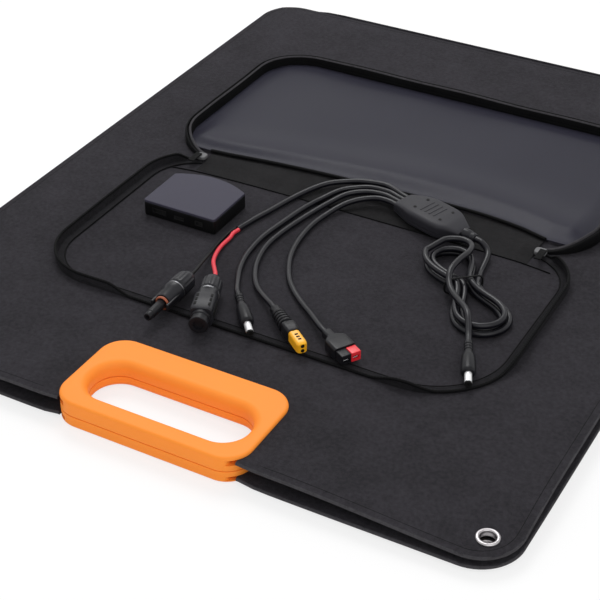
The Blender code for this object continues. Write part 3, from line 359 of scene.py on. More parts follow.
# weave: threads across and along, over and under, with uneven yarn; tone is soft blotching with flecks
def makeWeaveGroup():
    group, coords, start, end = newGroup("weave", Threads=1400.0, Blotch=26.0)
    threads = [node(group, "ShaderNodeTexWave", bands_direction=axis, wave_profile="SIN", Vector=coords,
                    Scale=start["Threads"], Distortion=1.2, Detail=1.0).outputs["Fac"] for axis in "XY"]
    yarn = noise(group, Vector=coords, Scale=900.0, Detail=3.0)
    blotch = noise(group, Vector=coords, Scale=start["Blotch"], Detail=6.0, Roughness=0.65)
    fleck = noise(group, Vector=coords, Scale=330.0, Detail=2.0)
    height = maths(group, "MULTIPLY_ADD", yarn, 0.9, maths(group, "MULTIPLY", *threads))
    mixed = maths(group, "MULTIPLY_ADD", height, 0.32, maths(group, "MULTIPLY", blotch, 0.55))
    tone = maths(group, "MULTIPLY_ADD", fleck, 0.5, maths(group, "SUBTRACT", mixed, 0.25))
    feed(group, end["Height"], height)
    feed(group, end["Tone"], tone)
    return group


# moulded grain: fine spark texture with slow cloudy variation
def makeGrainGroup():
    group, coords, start, end = newGroup("grain", Grain=2200.0, Cloud=40.0)
    grain, cloud = [noise(group, Vector=coords, Scale=start[label], Detail=4.0, Roughness=0.6)
                    for label in ("Grain", "Cloud")]
    feed(group, end["Height"], grain)
    feed(group, end["Tone"], maths(group, "MULTIPLY_ADD", grain, 0.3, maths(group, "MULTIPLY", cloud, 0.7)))
    return group


# solar cells: lines where one cell ends and the next begins, with thin collector lines across each cell;
# a line is where the distance to the nearest multiple of the pitch is small
def makeCellGroup():
    group, coords, start, end = newGroup("cells", Across=0.164, Down=0.07754, Middle=0.0381)
    place = node(group, "ShaderNodeSeparateXYZ", Vector=coords).outputs

    def toNearest(distance, pitch, share):
        half = maths(group, "MULTIPLY", pitch, share)
        return maths(group, "PINGPONG", maths(group, "ADD", distance, half), half)

    fromMiddle = maths(group, "SUBTRACT", place["Y"], start["Middle"])
    sideways = toNearest(place["X"], start["Across"], 0.5)
    lengthways = toNearest(fromMiddle, start["Down"], 0.5)
    collectors = toNearest(place["X"], start["Across"], 0.05)
    cellEdge = maths(group, "LESS_THAN", maths(group, "MINIMUM", sideways, lengthways), 0.0009)
    collectorLine = maths(group, "MULTIPLY", maths(group, "LESS_THAN", collectors, 0.0004), 0.4)
    lines = maths(group, "MULTIPLY", maths(group, "MAXIMUM", cellEdge, collectorLine), 0.4)
    film = noise(group, Vector=coords, Scale=700.0, Detail=3.0)
    cloud = maths(group, "ADD", maths(group, "MULTIPLY", film, 0.06), 0.27)
    feed(group, end["Tone"], maths(group, "ADD", lines, cloud))
    feed(group, end["Height"], film)
    return group


weave = makeWeaveGroup()
grain = makeGrainGroup()
cells = makeCellGroup()


# finish: two tones mixed by an effect's tone, its height as bump, and roughness that follows the tone
def finish(name, dark, light, rough, bump, effect=grain, metallic=0.0, specular=0.5, **settings):
    material = bpy.data.materials.new(name)
    material.use_nodes = True
    tree = material.node_tree
    shader = tree.nodes["Principled BSDF"].inputs
    group = node(tree, "ShaderNodeGroup", node_tree=effect, **settings).outputs
    tone = node(tree, "ShaderNodeMapRange", From_Min=0.3, From_Max=0.7, Value=group["Tone"])
    tone = tone.outputs["Result"]
    mix = node(tree, "ShaderNodeMix", data_type="RGBA", Factor=tone)
    mix.inputs[6].default_value = (*dark, 1)  # the two colours of a mix in RGBA
    mix.inputs[7].default_value = (*light, 1)
    span = node(tree, "ShaderNodeMapRange", To_Min=rough[0], To_Max=rough[1], Value=tone)
    relief = node(tree, "ShaderNodeBump", Strength=bump, Distance=0.4 * mm, Height=group["Height"])
    feed(tree, shader["Base Color"], mix.outputs[2])
    feed(tree, shader["Roughness"], span.outputs["Result"])
    feed(tree, shader["Normal"], relief.outputs["Normal"])
    shader["Metallic"].default_value = metallic
    shader["Specular IOR Level"].default_value = specular
    return material


# each finish: its dark and light tone, range of roughness and bump
finishes = {
    "cover": finish("coverCloth", (0.026, 0.0245, 0.029), (0.062, 0.058, 0.0685), (0.85, 0.97), 0.9, weave,
                    specular=0.14),
    # strip: the cloth's dark grey, darkened further as painted shade of the folds in the back strip
    "strip": finish("stripClothAndFoldShade", (0.006, 0.0058, 0.0064), (0.021, 0.0203, 0.0218), (0.8, 0.92), 0.7, weave,
                    specular=0.16),
    "lining": finish("coatedLining", (0.017, 0.0165, 0.0255), (0.023, 0.0225, 0.0345), (0.32, 0.42), 0.1,
                     weave, specular=0.1, Threads=2600.0, Blotch=9.0),
    "rimTape": finish("rimTape", (0.009, 0.0087, 0.01), (0.026, 0.025, 0.0285), (0.78, 0.92), 0.6, weave,
                      specular=0.1, Threads=2600.0),
    # binding: a lighter grey band, partly the real binding and partly a painted highlight on round edges and
    # ridge tops
    "binding": finish("edgeBindingAndHighlight", (0.04, 0.038, 0.042), (0.075, 0.072, 0.079), (0.8, 0.92), 0.6, weave,
                      specular=0.14),
    "nickel": finish("nickelPlate", (0.33, 0.315, 0.32), (0.45, 0.43, 0.44), (0.22, 0.36), 0.08,
                     metallic=1.0),
    "zipTape": finish("zipTape", (0.0015, 0.0015, 0.0018), (0.0045, 0.0045, 0.005), (0.6, 0.75), 0.4, weave,
                      specular=0.08, Threads=2600.0),
    "tabGrey": finish("zipTab", (0.1, 0.1, 0.105), (0.16, 0.16, 0.165), (0.55, 0.7), 0.25, specular=0.3),
    "handle": finish("orangeMoulding", (0.95, 0.275, 0.03), (0.99, 0.3, 0.036), (0.5, 0.58), 0.08,
                     specular=0.22, Grain=3200.0, Cloud=14.0),
    "boxTop": finish("boxTop", (0.034, 0.032, 0.05), (0.044, 0.0415, 0.062), (0.55, 0.65), 0.2,
                     specular=0.2),
    "boxSide": finish("boxSide", (0.0012, 0.0012, 0.0014), (0.003, 0.003, 0.0033), (0.4, 0.5), 0.2,
                      specular=0.2),
    "moulding": finish("blackMoulding", (0.006, 0.006, 0.0075), (0.012, 0.012, 0.0145), (0.28, 0.4), 0.12,
                       specular=0.16),
    "greyMoulding": finish("greyMoulding", (0.012, 0.012, 0.0145), (0.021, 0.021, 0.025), (0.3, 0.42), 0.12,
                           specular=0.2),
    "blockMoulding": finish("blockMoulding", (0.017, 0.0165, 0.0205), (0.026, 0.0255, 0.0315), (0.45, 0.56),
                            0.15, specular=0.2),
    "cord": finish("cordJacket", (0.0035, 0.0034, 0.0056), (0.0065, 0.0063, 0.0096), (0.26, 0.34), 0.06,
                   specular=0.27),
    "redWire": finish("redJacket", (0.62, 0.02, 0.04), (0.78, 0.035, 0.055), (0.32, 0.45), 0.06),
    "blackWire": finish("blackJacket", (0.004, 0.004, 0.0045), (0.009, 0.009, 0.0095), (0.35, 0.5), 0.06,
                        specular=0.12),
    "seal": finish("sealRubber", (0.26, 0.065, 0.03), (0.36, 0.1, 0.045), (0.5, 0.65), 0.1),
    "yellow": finish("yellowMoulding", (0.86, 0.4, 0.006), (0.96, 0.48, 0.015), (0.3, 0.42), 0.06),
    "redHousing": finish("redMoulding", (0.7, 0.018, 0.03), (0.84, 0.035, 0.045), (0.32, 0.45), 0.06),
    "bright": finish("brightPlate", (0.76, 0.76, 0.77), (0.87, 0.87, 0.88), (0.16, 0.3), 0.05, metallic=1.0),
    "barrel": finish("barrelPlate", (0.82, 0.82, 0.83), (0.92, 0.92, 0.93), (0.3, 0.42), 0.05,
                     metallic=0.55),
    "dullMetal": finish("dullPlate", (0.16, 0.16, 0.17), (0.24, 0.24, 0.25), (0.35, 0.5), 0.1, metallic=0.9),
    "socket": finish("socketShell", (0.02, 0.02, 0.021), (0.04, 0.04, 0.041), (0.3, 0.45), 0.1,
                     metallic=0.6),
    # painted shade: near-black for slots, grooves, holes and screw wells, where shade falls in recesses
    "hole": finish("paintedRecessShade", (0.002, 0.002, 0.002), (0.004, 0.004, 0.004), (0.6, 0.8), 0.05,
                   specular=0.2),
    "board": finish("coreBoard", (0.03, 0.029, 0.031), (0.05, 0.048, 0.051), (0.75, 0.9), 0.3, weave,
                    specular=0.2),
    "cells": finish("solarSheet", (0.006, 0.0075, 0.02), (0.3, 0.31, 0.33), (0.3, 0.4), 0.12, cells,
                    specular=0.25),
}
print("finishes:", len(finishes))


# camera and light

# the lens is the focal length in pixels, times the sensor's width, over the picture's width
camera = {"place": (0.48709, -0.98812, 0.69220), "pitch": 34.850, "yaw": 28.964, "sensor": 36,
          "lens": 1551.21 * 36 / 600}
studio = {"skyStrength": 0.66, "keyPower": 20.0, "keyPlace": (-0.7, 0.9, 1.7), "keySize": 0.9,
          "fillPower": 8.0, "fillPlace": (1.1, -1.1, 1.3), "fillSize": 1.4, "whitening": 0.72,
          "floorColour": (0.95, 0.95, 0.95), "floorRough": 0.8, "floorReach": 6.0, "floorZ": -0.4 * mm}


def setCamera():
    data = bpy.data.cameras.new("camera")
    data.sensor_width = camera["sensor"]
    data.lens = camera["lens"]
    data.clip_start = 0.01
    eye = bpy.data.objects.new("camera", data)
    eye.location = camera["place"]
    eye.rotation_euler = (math.radians(90 - camera["pitch"]), 0, math.radians(camera["yaw"]))
    bpy.context.collection.objects.link(eye)
    bpy.context.scene.camera = eye


# square lamp that faces the middle of the case
def areaLamp(name, place, size, power):
    data = bpy.data.lights.new(name, "AREA")
    data.energy = power
    data.size = size
    lamp = bpy.data.objects.new(name, data)
    lamp.location = place
    x, y, z = place
    lamp.rotation_euler = (math.atan2(math.hypot(x, y), z), 0, math.atan2(x, -y))
    bpy.context.collection.objects.link(lamp)


# 1 for rays that come straight from the camera, by way of metal or through a clear piece, and else 0
def seenShare(tree):
    path = node(tree, "ShaderNodeLightPath").outputs
    share = path["Is Camera Ray"]
    for label in ("Is Glossy Ray", "Is Transmission Ray"):
        share = maths(tree, "MAXIMUM", share, path[label])
    return share


# one shader where the share is 0 and another where it is 1
def mixShaders(tree, share, first, second, output):
    mix = node(tree, "ShaderNodeMixShader", Fac=share)
    feed(tree, mix.inputs[1], first.outputs[0])
    feed(tree, mix.inputs[2], second.outputs[0])
    feed(tree, tree.nodes[output].inputs["Surface"], mix.outputs[0])


# soft white sky, seen as plain white
def setSky():
    world = bpy.data.worlds.new("studio")
    world.use_nodes = True
    bpy.context.scene.world = world
    tree = world.node_tree
    soft = tree.nodes["Background"]
    soft.inputs["Strength"].default_value = studio["skyStrength"]
    soft.inputs["Color"].default_value = (1, 1, 1, 1)
    white = node(tree, "ShaderNodeBackground", Color=(1, 1, 1, 1))
    mixShaders(tree, seenShare(tree), soft, white, "World Output")


# the floor is seen part way to white, so the object's shadow stays but the ground is pale
def setFloor():
    mesh = bpy.data.meshes.new("floor")
    reach, z = studio["floorReach"], studio["floorZ"]
    mesh.from_pydata([(-reach, -reach, z), (reach, -reach, z), (reach, reach, z), (-reach, reach, z)], [],
                     [(0, 1, 2, 3)])
    floor = bpy.data.objects.new("floor", mesh)
    bpy.context.collection.objects.link(floor)
    paint = bpy.data.materials.new("paleFloor")
    paint.use_nodes = True
    tree = paint.node_tree
    shader = tree.nodes["Principled BSDF"]
    shader.inputs["Base Color"].default_value = (*studio["floorColour"], 1)
    shader.inputs["Roughness"].default_value = studio["floorRough"]
    glow = node(tree, "ShaderNodeEmission", Color=(1, 1, 1, 1))
    share = maths(tree, "MULTIPLY", seenShare(tree), studio["whitening"])
    mixShaders(tree, share, shader, glow, "Material Output")
    mesh.materials.append(paint)


setCamera()
setSky()
areaLamp("keyLight", studio["keyPlace"], studio["keySize"], studio["keyPower"])
areaLamp("fillLight", studio["fillPlace"], studio["fillSize"], studio["fillPower"])
setFloor()
bpy.context.scene.view_settings.view_transform = "Standard"
print("camera and studio set")


# case halves

case = inMetres(width=532, depth=655, corner=33, thick=3, edgeR=1.45, binding=0.9, sagX=(100, 265),
                sagY=(235, 325), cornerSag=7, hemSag=1, hemWidth=20, tightest=3,
                rows=[0, 0.12, 0.5, 1, 1.45, 3, 6, 10, 14, 19, 25, 33, 44, 60, 80, 105, 140, 180, 225])
lowerSag = 0.2  # share of the sag that the lower cover has
grip = inMetres(width=154, front=4.2, back=79.2, corner=20, lip=2.5, slotWidth=128, slotDepth=40,
                frontBar=16.5, slotCorner=19, slotFillet=6.5, outerFillet=2.3, groove=5, grooveLow=4.2,
                raised=(3, 10), notchEase=0.4, notchBeyond=30)
stitch = inMetres(inset=6, clear=8, sunk=0.12, radius=0.3)
eyelet = inMetres(inset=21.5, hole=6.4, inner=5.45, flange=8.25, roll=1.15, barrel=6.1, proud=1.2, under=1)
cutThrough = (-20 * mm, 50 * mm)  # heights that a cutter spans
frontY, backY = -case["depth"] / 2, case["depth"] / 2
gripFront, gripBack = frontY - grip["front"], frontY + grip["back"]
slotFront = gripFront + grip["frontBar"]
lowerScale = midZ / (midZ + grip["lip"])


# outlines of the case, the handle and the hand slot, moved out or in
def caseOutline(inset, radius, arc, edge):
    half = case["width"] / 2 - inset
    return roundRect(-half, half, frontY + inset, backY - inset, [radius] * 4, arc, edge)


def gripOutline(grow=0.0):
    half = grip["width"] / 2 + grow
    return roundRect(-half, half, gripFront - grow, gripBack + grow, [grip["corner"] + grow] * 4, 24)


def slotOutline(grow=0.0):
    half = grip["slotWidth"] / 2 + grow
    radii = [grip["slotCorner"] + grow] * 4
    return roundRect(-half, half, slotFront - grow, slotFront + grip["slotDepth"] + grow, radii, 24)


# how far the unbacked front corners and hems give way: smooth steps towards the corner and the edge
def coverGive(x, y):
    corner = smoothStep(np.abs(x), *case["sagX"]) * smoothStep(-y, *case["sagY"])
    edge = np.minimum(case["width"] / 2 - np.abs(x), backY - np.abs(y))
    hem = 1 - smoothStep(edge, 0.0, case["hemWidth"])
    return case["cornerSag"] * corner + case["hemSag"] * hem * (1 - corner)


# 1 under the handle and 0 away from it
def gripRaise(x, y):
    away = np.maximum(np.abs(x) - grip["width"] / 2, y - gripBack)
    return 1 - smoothStep(away, *grip["raised"])


# cover: a plate profile with round edges carried round the case, from the middle of one face to the other
def coverShell(zLow, upper):
    insets = np.array(case["rows"])
    r = case["edgeR"]
    edge = np.where(insets < r, r - np.sqrt(np.maximum(r * r - (r - np.minimum(insets, r)) ** 2, 0)), 0)
    profile = [*zip(insets[::-1], edge[::-1]), *zip(insets, case["thick"] - edge)]
    points = np.array([atHeight(caseOutline(inset, max(case["corner"] - inset, case["tightest"]), 14, 40),
                                zLow + z) for inset, z in profile])
    x, y = points[..., 0], points[..., 1]
    if upper:
        points[..., 2] -= coverGive(x, y) * (1 - gripRaise(x, y))
    else:
        points[..., 2] += lowerSag * coverGive(x, y) + gripRaise(x, y) * grip["lip"] * lowerScale * 1.06
    return gridShell(points)


def eyeletPlace(sign):
    return sign * (case["width"] / 2 - eyelet["inset"]), frontY + eyelet["inset"]


def makeCovers():
    notch = gripOutline(grip["notchEase"] - grip["groove"])
    beyond = grip["notchBeyond"]  # the notch runs out over the front edge
    notch[:, 1] = np.where(notch[:, 1] < frontY + beyond, notch[:, 1] - beyond, notch[:, 1])
    ring = circle(eyelet["hole"], 48)
    outlines = [notch, ring + eyeletPlace(-1), ring + eyeletPlace(1)]
    cutters = [prism(outline, *cutThrough) for outline in outlines]
    for side, zLow in (("lower", 0.0), ("upper", coverTop - case["thick"])):
        cover = makePiece(side + "Cover", coverShell(zLow, side == "upper"), "cover", side + "_panel",
                          "cover_fabric", [side + "_cover"])
        cutFrom(cover, cutters)
        # faces on the cover's round edge take the lighter band, partly binding and partly painted highlight
        bandFaces(cover, caseOutline(0, case["corner"], 40, 500), -1, case["binding"], "binding")


# stitch line a little way in from the upper cover's edge, broken at the handle
def hemStitch():
    edge = 60
    outline = caseOutline(stitch["inset"], case["corner"] - stitch["inset"], 14, edge)
    front, rest = outline[-edge:], outline[:-edge]
    clear = grip["width"] / 2 + stitch["clear"]
    course = np.vstack([front[front[:, 0] > clear], rest, front[front[:, 0] < -clear]])
    course = evenly(atHeight(course, 0), sewnStep)
    x, y = course[:, 0], course[:, 1]
    course[:, 2] = coverTop - coverGive(x, y) * (1 - gripRaise(x, y)) - stitch["sunk"]
    return tubeShell(course, stitch["radius"], 8)


# handle half: a ring between the slot and the outer outline; its profile has a round slot lip, a flat top,
# and a groove that takes the cover's edge on three sides; the lower half is mirrored and a little flatter
def gripShell(upper):
    zb, zt = midZ + clearance, coverTop + grip["lip"]
    quarter = np.radians(np.linspace(0, 90, 9))
    rs, ro = grip["slotFillet"], grip["outerFillet"]
    lipZ, grooveZ = coverTop + 0.08 * mm, coverTop - grip["grooveLow"]
    eased = [(0.6 * mm, zb), (0.15 * mm, zb + 0.25 * mm), (0, zb + 0.8 * mm)]
    slotSide = eased + [(0, zt - rs)]
    slotSide += [(rs * (1 - math.cos(a)), zt - rs + rs * math.sin(a)) for a in quarter[1:]]
    outerTop = [(ro * (1 - math.sin(a)), zt - ro + ro * math.cos(a)) for a in quarter] + [(0.05 * mm, lipZ)]
    outerLow = [(0.05 * mm, grooveZ)] + eased[::-1]
    outer = gripOutline()
    share = smoothStep(outer[:, 1], frontY - 2.5 * mm, frontY + 1 * mm)[:, None]
    groove = outer + (gripOutline(-grip["groove"]) - outer) * share
    rows = [atHeight(slotOutline(reach), z) for reach, z in slotSide]
    for part, z in ((0.35, zt + 0.12 * mm), (0.7, zt + 0.1 * mm)):
        rows.append(atHeight(slotOutline(rs) * (1 - part) + gripOutline(-ro) * part, z))
    rows += [atHeight(gripOutline(-reach), z) for reach, z in outerTop]
    rows += [atHeight(groove, lipZ), atHeight(groove, grooveZ)]
    rows += [atHeight(gripOutline(-reach), z) for reach, z in outerLow]
    points = np.array(rows)
    if not upper:
        points[..., 2] = midZ - (points[..., 2] - midZ) * lowerScale
    return gridShell(points, closed=True)


# eyelet: a rolled ring with a barrel, turned about Z
def eyeletShell(x, y, zTop, zLow):
    inner, flange, barrel, roll = (eyelet[key] for key in ("inner", "flange", "barrel", "roll"))
    curl = np.radians(np.linspace(-60, 180, 12))
    middle = (inner + flange) / 2
    profile = [(zTop - roll + roll * max(math.sin(a), -0.8), middle + (flange - middle) * math.cos(a))
               for a in curl]
    profile += [(zTop - roll, inner), (zLow + 0.3 * mm, inner), (zLow, inner + 0.4 * mm), (zLow, flange),
                (zLow + 0.7 * mm, flange), (zLow + 0.8 * mm, barrel), (zTop - 2.0 * mm, barrel)]
    verts, faces = turned(profile, 48, closed=True)
    return verts[:, [1, 2, 0]] + [x, y, 0], faces


def makeEyelet(side, place, sign):
    x, y = eyeletPlace(sign)
    give = float(coverGive(np.array(x), np.array(y)))
    deep = case["thick"] + eyelet["under"]
    if side == "upper":
        shell = eyeletShell(x, y, coverTop - give + eyelet["proud"], coverTop - give - deep)
    else:
        verts, faces = eyeletShell(x, y, 0, -deep - lowerSag * give)
        shell = verts * [1, 1, -1], faces
    makePiece(side + "Eyelet" + place.title(), shell, "nickel", side + "_panel", "eyelet",
              [side + "_eyelet_" + place], 60)


# spine leaf: rounded sections that taper to both ends
def makeSpine(side):
    (x0, y0, z0), (x1, y1, z1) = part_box(side + "_spine_leaf")
    halfY, halfZ = (y1 - y0) / 2, (z1 - z0) / 2
    taper = [(x0, 0.3, 0.25), (x0 + 4 * mm, 0.62, 0.5), (x0 + 16 * mm, 0.9, 0.86), (x0 + 34 * mm, 1, 1)]
    taper += [(x0 + x1 - x, w, h) for x, w, h in taper[::-1]]
    verts, faces = lofted([(x, halfY * w, halfZ * h, 0.75 * halfY * w) for x, w, h in taper], 6, 6)
    makePiece(side + "Spine", (verts + [0, (y0 + y1) / 2, (z0 + z1) / 2], faces), "cover", side + "_panel",
              "cover_fabric", [side + "_spine_leaf"], 60)


makeCovers()
makePiece("hemStitch", hemStitch(), "strip", "upper_panel", "cover_fabric", (), 80)
for side in ("lower", "upper"):
    makePiece(side + "Handle", gripShell(side == "upper"), "handle", side + "_panel", "handle",
              [side + "_handle_outer", side + "_handle_inner"], 50)
    makeEyelet(side, "left", -1)
    makeEyelet(side, "right", 1)
    paintNode(side + "_core_board", "board")
    paintNode(side + "_solar_laminate", "cells")
    makeSpine(side)
print("case halves and handle made")


# fittings on the cords, each along its own axis from the cord's end

# places: X and Y in millimetres and heading in degrees
plugs = {"male": (-62.7, -169, -88.5), "female": (-44.6, -163, -69.3), "charge": (-19, -169.4, -49.2),
         "battery": (13.9, -172.2, -38.1), "pole": (60.6, -178.8, -31), "trunk": (156.8, -140.1, -66.4)}
nut = inMetres(length=19, radius=8.6)
nutRibs = 16
male = inMetres(body=19, bodyR=8.2, tube=22, tubeR=3.8, bore=1.7, seal=2.2, sealR=5.7)
female = inMetres(body=31, half=8.4, nose=10.5, noseR=7.4, bore=4.2)
barrelPlug = inMetres(body=37, radius=5.5, neck=3.3, barrel=12, barrelR=2.75, bore=1.25)
battery = inMetres(boot=24, bootR=6.2, neck=4.2, length=29, width=10.4, height=12.4)
pole = inMetres(length=27, width=18, height=10.6, neck=7.4, size=7.9, reach=8.5)
axisHeights = {"male": nut["radius"], "female": nut["radius"], "charge": barrelPlug["radius"],
               "battery": battery["height"] / 2, "pole": pole["height"] / 2, "trunk": barrelPlug["radius"]}


# a function that sets pieces down on a plug's axis
def fitter(label):
    def put(name, shell, finishName, nodes=(), slotName="moulding", smoothAngle=creaseAngle):
        placed = turnAndPlace(shell, plugs[label], laidZ + axisHeights[label])
        return makePiece(name, placed, finishName, "cable_set", slotName, nodes, smoothAngle)

    return put


# cap nut: a cone with grip ribs, its radius waving round the turn between the two ends
def nutShell():
    along = np.array([0, 0.02, 0.06, 0.22, 0.28, 0.5, 0.75, 0.9, 0.95, 1.0]) * nut["length"]
    radius = np.array([0.52, 0.6, 0.62, 0.86, 0.93, 0.96, 0.98, 0.99, 0.95, 0.88]) * nut["radius"]
    ribbed = np.array([0, 0, 0, 0.4, 1, 1, 1, 0.8, 0, 0])
    wave = 1 - 0.05 * ribbed[:, None] * (0.5 - 0.5 * np.cos(nutRibs * fullTurn(96)))[None]
    return turned(np.column_stack([along, radius]), 96, wave)


# round connector with a pin tube and latch arms; its bodies are profiles turned about the axis
def makeMale():
    put = fitter("male")
    start = nut["length"] + clearance
    end = start + male["body"]
    r = male["bodyR"]
    body = [(start, 0.84 * r), (start + 0.4 * mm, 0.88 * r), (start + 2.0 * mm, 0.88 * r),
            (start + 2.2 * mm, r), (start + 7 * mm, r), (start + 8.5 * mm, 0.86 * r),
            (end - 1 * mm, 0.82 * r), (end, 0.76 * r)]
    collar = [(start + 0.6 * mm, 0.9 * r), (start + 0.7 * mm, 0.97 * r), (start + 1.7 * mm, 0.97 * r),
              (start + 1.8 * mm, 0.9 * r)]
    arms = [softBox(start + 6 * mm, end + 5.5 * mm, 1.2 * mm, 2.6 * mm, 0.6 * mm, side * 6.6 * mm)
            for side in (-1, 1)]
    front = end + clearance
    tip = front + male["tube"]
    r, bore = male["tubeR"], male["bore"]
    tube = [(front, 0.9 * r), (front + 0.5 * mm, r), (tip - 5 * mm, 0.97 * r), (tip - 4.6 * mm, 0.86 * r),
            (tip - 0.6 * mm, 0.84 * r), (tip, 0.74 * r), (tip, bore), (front + 0.4 * male["tube"], bore)]
    middle = (male["sealR"] + r + clearance) / 2
    half = (male["sealR"] - r - clearance) / 2
    ring = fullTurn(16)
    seal = np.stack([front + male["seal"] / 2 * (1 + np.cos(ring)), middle + half * np.sin(ring)], axis=-1)
    return [put("maleNut", nutShell(), "greyMoulding", ["male_connector_nut"]),
            put("maleBody", turned(body, 40), "greyMoulding", ["male_connector_body"]),
            put("maleCollar", turned(collar, 40), "dullMetal"),
            put("maleLatches", joinShells(arms), "moulding"),
            put("malePinTube", turned(tube, 32), "moulding", ["male_connector_pin_tube"]),
            put("maleSeal", turned(seal, 40, closed=True), "seal", ["male_connector_seal"], "seal", 70)]


# squared connector: rounded sections lofted along the axis, with slots painted near-black as shade and a
# turned nose
def makeFemale():
    put = fitter("female")
    start = nut["length"] + clearance
    end = start + female["body"]
    h = female["half"]
    body = [(start, 0.8, 0.5), (start + 0.8 * mm, 0.88, 0.55), (start + 9 * mm, 0.9, 0.5),
            (start + 11 * mm, 1, 0.42), (end - 1.2 * mm, 1, 0.42), (end, 0.9, 0.36)]
    sections = [(along, grow * h, grow * h, corner * h) for along, grow, corner in body]
    collar = [(start + 0.9 * mm, 0.9 * h), (start + 1.1 * mm, 0.985 * h), (start + 2.6 * mm, 0.985 * h),
              (start + 2.8 * mm, 0.9 * h)]
    slots = [softBox(start + 12 * mm, end - 3 * mm, 0.5 * mm, 2.4 * mm, 0.3 * mm, side * (h - 0.1 * mm))
             for side in (-1, 1)]
    slots += [softBox(start + a * mm, start + (a + 3.6) * mm, 0.9 * mm, 0.35 * mm, 0.2 * mm, side * 5.4 * mm,
                      h - 0.1 * mm) for a in (12.5, 18, 23.5) for side in (-1, 1)]
    front = end + clearance
    tip = front + female["nose"]
    r, bore = female["noseR"], female["bore"]
    nose = [(front, 0.94 * r), (front + 0.5 * mm, r), (front + 3 * mm, r), (front + 3.4 * mm, 0.9 * r),
            (tip - 2.6 * mm, 0.9 * r), (tip - 2.2 * mm, r), (tip - 0.5 * mm, r), (tip, 0.93 * r),
            (tip, bore), (tip - 3 * mm, bore)]
    return [put("femaleNut", nutShell(), "greyMoulding", ["female_connector_nut"]),
            put("femaleBody", lofted(sections), "greyMoulding", ["female_connector_body"]),
            put("femaleCollar", turned(collar, 40), "dullMetal"),
            put("femaleSlots", joinShells(slots), "hole"),
            put("femaleNose", turned(nose, 40), "moulding", ["female_connector_socket"])]


# barrel plug: a tapered overmould with ring grooves at the neck, a bright barrel, and a dark end ring and
# bore in the painted recess shade
def makeBarrelPlug(label):
    put = fitter(label)
    length, r, neck = barrelPlug["body"], barrelPlug["radius"], barrelPlug["neck"]
    body = [(0, 0.8 * neck), (0.3 * mm, neck)]
    for rib in range(3):
        a = (rib + 1) * 3.2 * mm
        body += [(a, neck), (a + 0.35 * mm, 0.84 * neck), (a + 1.2 * mm, 0.84 * neck), (a + 1.55 * mm, neck)]
    body += [(0.36 * length, 1.06 * neck), (0.44 * length, 0.86 * r), (0.52 * length, 0.95 * r),
             (0.7 * length, r), (0.93 * length, r), (0.975 * length, 0.95 * r), (length, 0.82 * r)]
    front = length + clearance
    end = front + barrelPlug["barrel"]
    b, bore = barrelPlug["barrelR"], barrelPlug["bore"]
    barrel = [(front, b), (end - 1.6 * mm, b), (end - 1.6 * mm, 0.6 * b), (end - 4 * mm, 0.6 * b)]
    tip = [(end - 1.5 * mm, 0.55 * b), (end - 1.5 * mm, 0.97 * b), (end - 0.3 * mm, 0.97 * b),
           (end, 0.88 * b), (end, bore), (end - 1.2 * mm, bore)]
    nodes = label + "_plug_"
    return [put(label + "PlugBody", turned(body, 36), "moulding", [nodes + "body"]),
            put(label + "PlugBarrel", turned(barrel, 36), "barrel", [nodes + "barrel"], "plug_metal"),
            put(label + "PlugTip", turned(tip, 36), "hole")]


# two-pole connector: a ribbed boot, a black sleeve, and a yellow housing with rungs and two holes painted
# near-black as shade
def makeBattery():
    put = fitter("battery")
    long, length = battery["boot"], battery["length"]
    boot = [(0, 0.85 * battery["neck"]), (0.4 * mm, battery["neck"]), (0.22 * long, battery["neck"])]
    pitch = long * 0.7 / 5
    for rib in range(5):
        a, r = long * 0.3 + rib * pitch, battery["bootR"] * (0.86 + 0.035 * rib)
        boot += [(a, r * 0.97), (a + 0.15 * pitch, r), (a + 0.55 * pitch, r), (a + 0.66 * pitch, r * 0.86),
                 (a + 0.9 * pitch, r * 0.86)]
    boot += [(long, battery["bootR"] * 0.88)]
    start = long + clearance
    end = start + length

    def grown(steps, corner):
        halfY, halfZ = battery["width"] / 2, battery["height"] / 2
        return lofted([(start + length * share, halfY * grow, halfZ * grow, halfY * grow * corner)
                       for share, grow in steps])

    housing = grown([(0.3, 0.8), (0.88, 0.8), (0.955, 0.75), (1, 0.62)], 0.5)
    sleeve = grown([(0, 0.86), (0.03, 0.97), (0.1, 1), (0.3, 1), (0.34, 0.93), (0.4, 0.93), (0.43, 0.84)],
                   0.4)
    top = battery["height"] / 2 * 0.8
    rungs = [softBox(start + (a - 0.05) * length, start + a * length, 1.3 * mm, 0.25 * mm, 0.12 * mm, 0, top)
             for a in (0.62, 0.73, 0.84)]
    mouth = turned([(end - 0.4 * mm, 1.5 * mm), (end + 0.12 * mm, 1.5 * mm)], 20)
    holes = [(mouth[0] + [0, 0, side * 2.0 * mm], mouth[1]) for side in (-1, 1)]
    return [put("batteryBoot", turned(boot, 36), "moulding", ["battery_connector_boot"]),
            put("batteryHousing", housing, "yellow", ["battery_connector_housing"], "yellow_housing"),
            put("batterySleeve", sleeve, "moulding"),
            put("batteryMarks", joinShells(rungs + holes), "hole")]


